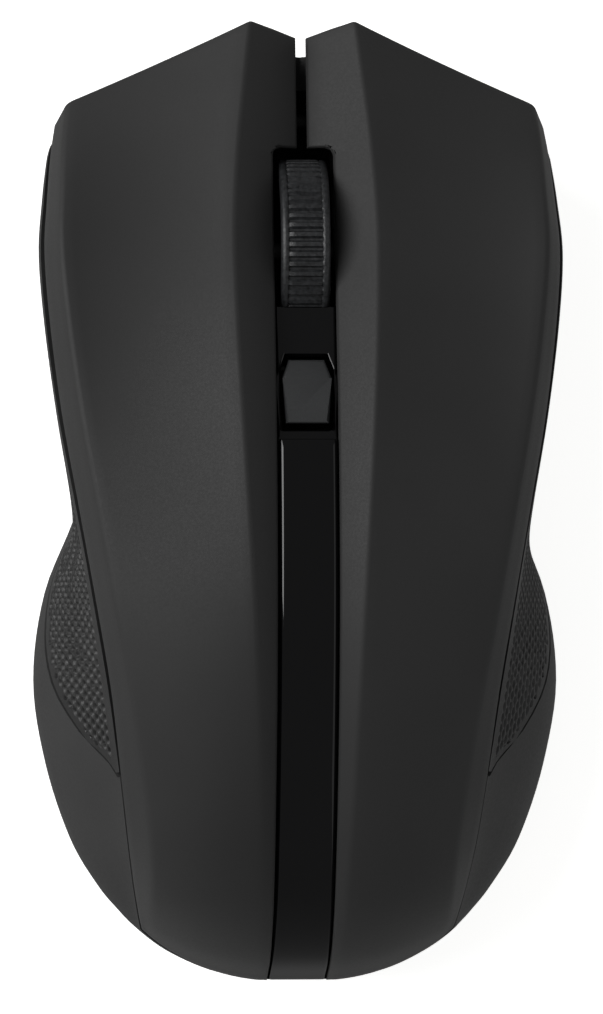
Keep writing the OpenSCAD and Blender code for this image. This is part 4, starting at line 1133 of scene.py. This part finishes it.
class MOUSE_OT_finishes(bpy.types.Operator):
    """Gives every CAD part that is kept the finish of its material slot"""

    bl_idname = "mouse.finishes"
    bl_label = "Finishes of the inner parts"

    def execute(self, context):
        slots = {s["node"]: s["material_slot"] for s in frame["record"]["subparts"]}
        for node, obj in frame["nodes"].items():
            obj.data.materials.clear()
            obj.data.materials.append(finish_for(slots[node]))
        return {"FINISHED"}


class MOUSE_OT_spring(bpy.types.Operator):
    """Gives the coil under the carriage a mesh of its own"""

    bl_idname = "mouse.spring"
    bl_label = "Carriage spring"

    def execute(self, context):
        # The carriage's lug comes down most over the edge of the coil farthest from the axis.
        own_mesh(frame["nodes"]["carriage_spring"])
        return {"FINISHED"}


class MOUSE_OT_stage(bpy.types.Operator):
    """Sets the floor, the studio lights and the camera"""

    bl_idname = "mouse.stage"
    bl_label = "Stage"

    def execute(self, context):
        scene, colours = context.scene, context.scene.mouse_colours
        bm = bmesh.new()
        floor_half, floor_glow, world_glow = 2.0, 0.9, 0.15
        bmesh.ops.create_grid(bm, x_segments=1, y_segments=1, size=floor_half)
        mesh = bpy.data.meshes.new("floor")
        bm.to_mesh(mesh)
        bm.free()
        floor = bpy.data.objects.new("floor", mesh)
        scene.collection.objects.link(floor)
        material, tree, place = begin("Pale matt laminate")
        close(
            tree,
            {
                "Base Color": colours.floor,
                "Emission Color": colours.floor,
                "Emission Strength": floor_glow,
            },
            {"Roughness": clouds(tree, place, 30, 0.75, 0.85)},
        )
        mesh.materials.append(material)
        # The floor glows, as a light table does. It lights the sides softly, but isn't mirrored.
        floor.visible_glossy = False

        world = bpy.data.worlds.new("studio")
        scene.world = world
        world.use_nodes = True
        back = world.node_tree.nodes["Background"]
        back.inputs["Color"].default_value = colours.light
        back.inputs["Strength"].default_value = world_glow
        low, high = (Vector(c) for c in CAD_BOX)
        middle = (low + high) / 2
        # Name, place in metres, size in metres, and power in watts.
        lamps = (
            ("key_softbox", (-0.56, 0.2, 0.5), (0.5, 0.7), 5.2),
            ("fill_softbox", (0.7, -0.1, 0.5), (1.2, 1.0), 1.2),
        )
        for name, at, size, power in lamps:
            lamp = bpy.data.lights.new(name, "AREA")
            lamp.shape = "RECTANGLE"
            lamp.size, lamp.size_y = size
            lamp.energy = power
            lamp.color = colours.light[:3]
            holder = bpy.data.objects.new(name, lamp)
            holder.location = at
            holder.rotation_euler = (middle - Vector(at)).to_track_quat("-Z", "Y").to_euler()
            holder.visible_camera = False
            scene.collection.objects.link(holder)

        # Straight above, leaning a little to the left of the body.
        lean = math.radians(3.2)
        distance = 0.579
        target = Vector((0, -0.00025, 0.021))
        sensor_mm, lens_mm = 36, 183.9532
        camera = bpy.data.cameras.new("overhead")
        camera.sensor_width = sensor_mm
        camera.lens = lens_mm
        holder = bpy.data.objects.new("overhead", camera)
        back_away = Vector((-math.sin(lean), 0, math.cos(lean)))
        holder.location = target + distance * back_away
        right = Vector((math.cos(lean), 0, math.sin(lean)))
        up = Vector((0, 1, 0))
        holder.rotation_euler = Matrix((right, up, back_away)).transposed().to_euler()
        scene.collection.objects.link(holder)
        scene.camera = holder
        scene.view_settings.view_transform = "Standard"
        return {"FINISHED"}


class MOUSE_PT_panel(bpy.types.Panel):
    """Lists the steps in the order in which they are run"""

    bl_label = "Wireless mouse"
    bl_idname = "MOUSE_PT_panel"
    bl_space_type = "VIEW_3D"
    bl_region_type = "UI"
    bl_category = "Mouse"

    def draw(self, context):
        for group in (context.scene.mouse_sizes, context.scene.mouse_colours):
            for name in group.__annotations__:
                self.layout.prop(group, name)
        for operator in OPERATORS:
            self.layout.operator(operator.bl_idname)


OPERATORS = (
    MOUSE_OT_finishes,
    MOUSE_OT_covers,
    MOUSE_OT_side,
    MOUSE_OT_grips,
    MOUSE_OT_tyre,
    MOUSE_OT_strip,
    MOUSE_OT_bezel,
    MOUSE_OT_key,
    MOUSE_OT_spring,
    MOUSE_OT_stage,
)
CLASSES = (MouseSizes, MouseColours, *OPERATORS, MOUSE_PT_panel)


def register():
    for item in CLASSES:
        bpy.utils.register_class(item)
    bpy.types.Scene.mouse_sizes = PointerProperty(type=MouseSizes)
    bpy.types.Scene.mouse_colours = PointerProperty(type=MouseColours)


def unregister():
    del bpy.types.Scene.mouse_sizes
    del bpy.types.Scene.mouse_colours
    for item in reversed(CLASSES):
        bpy.utils.unregister_class(item)


def main():
    register()
    for operator in OPERATORS:
        group, name = operator.bl_idname.split(".")
        getattr(getattr(bpy.ops, group), name)()


if __name__ == "__main__":
    main()
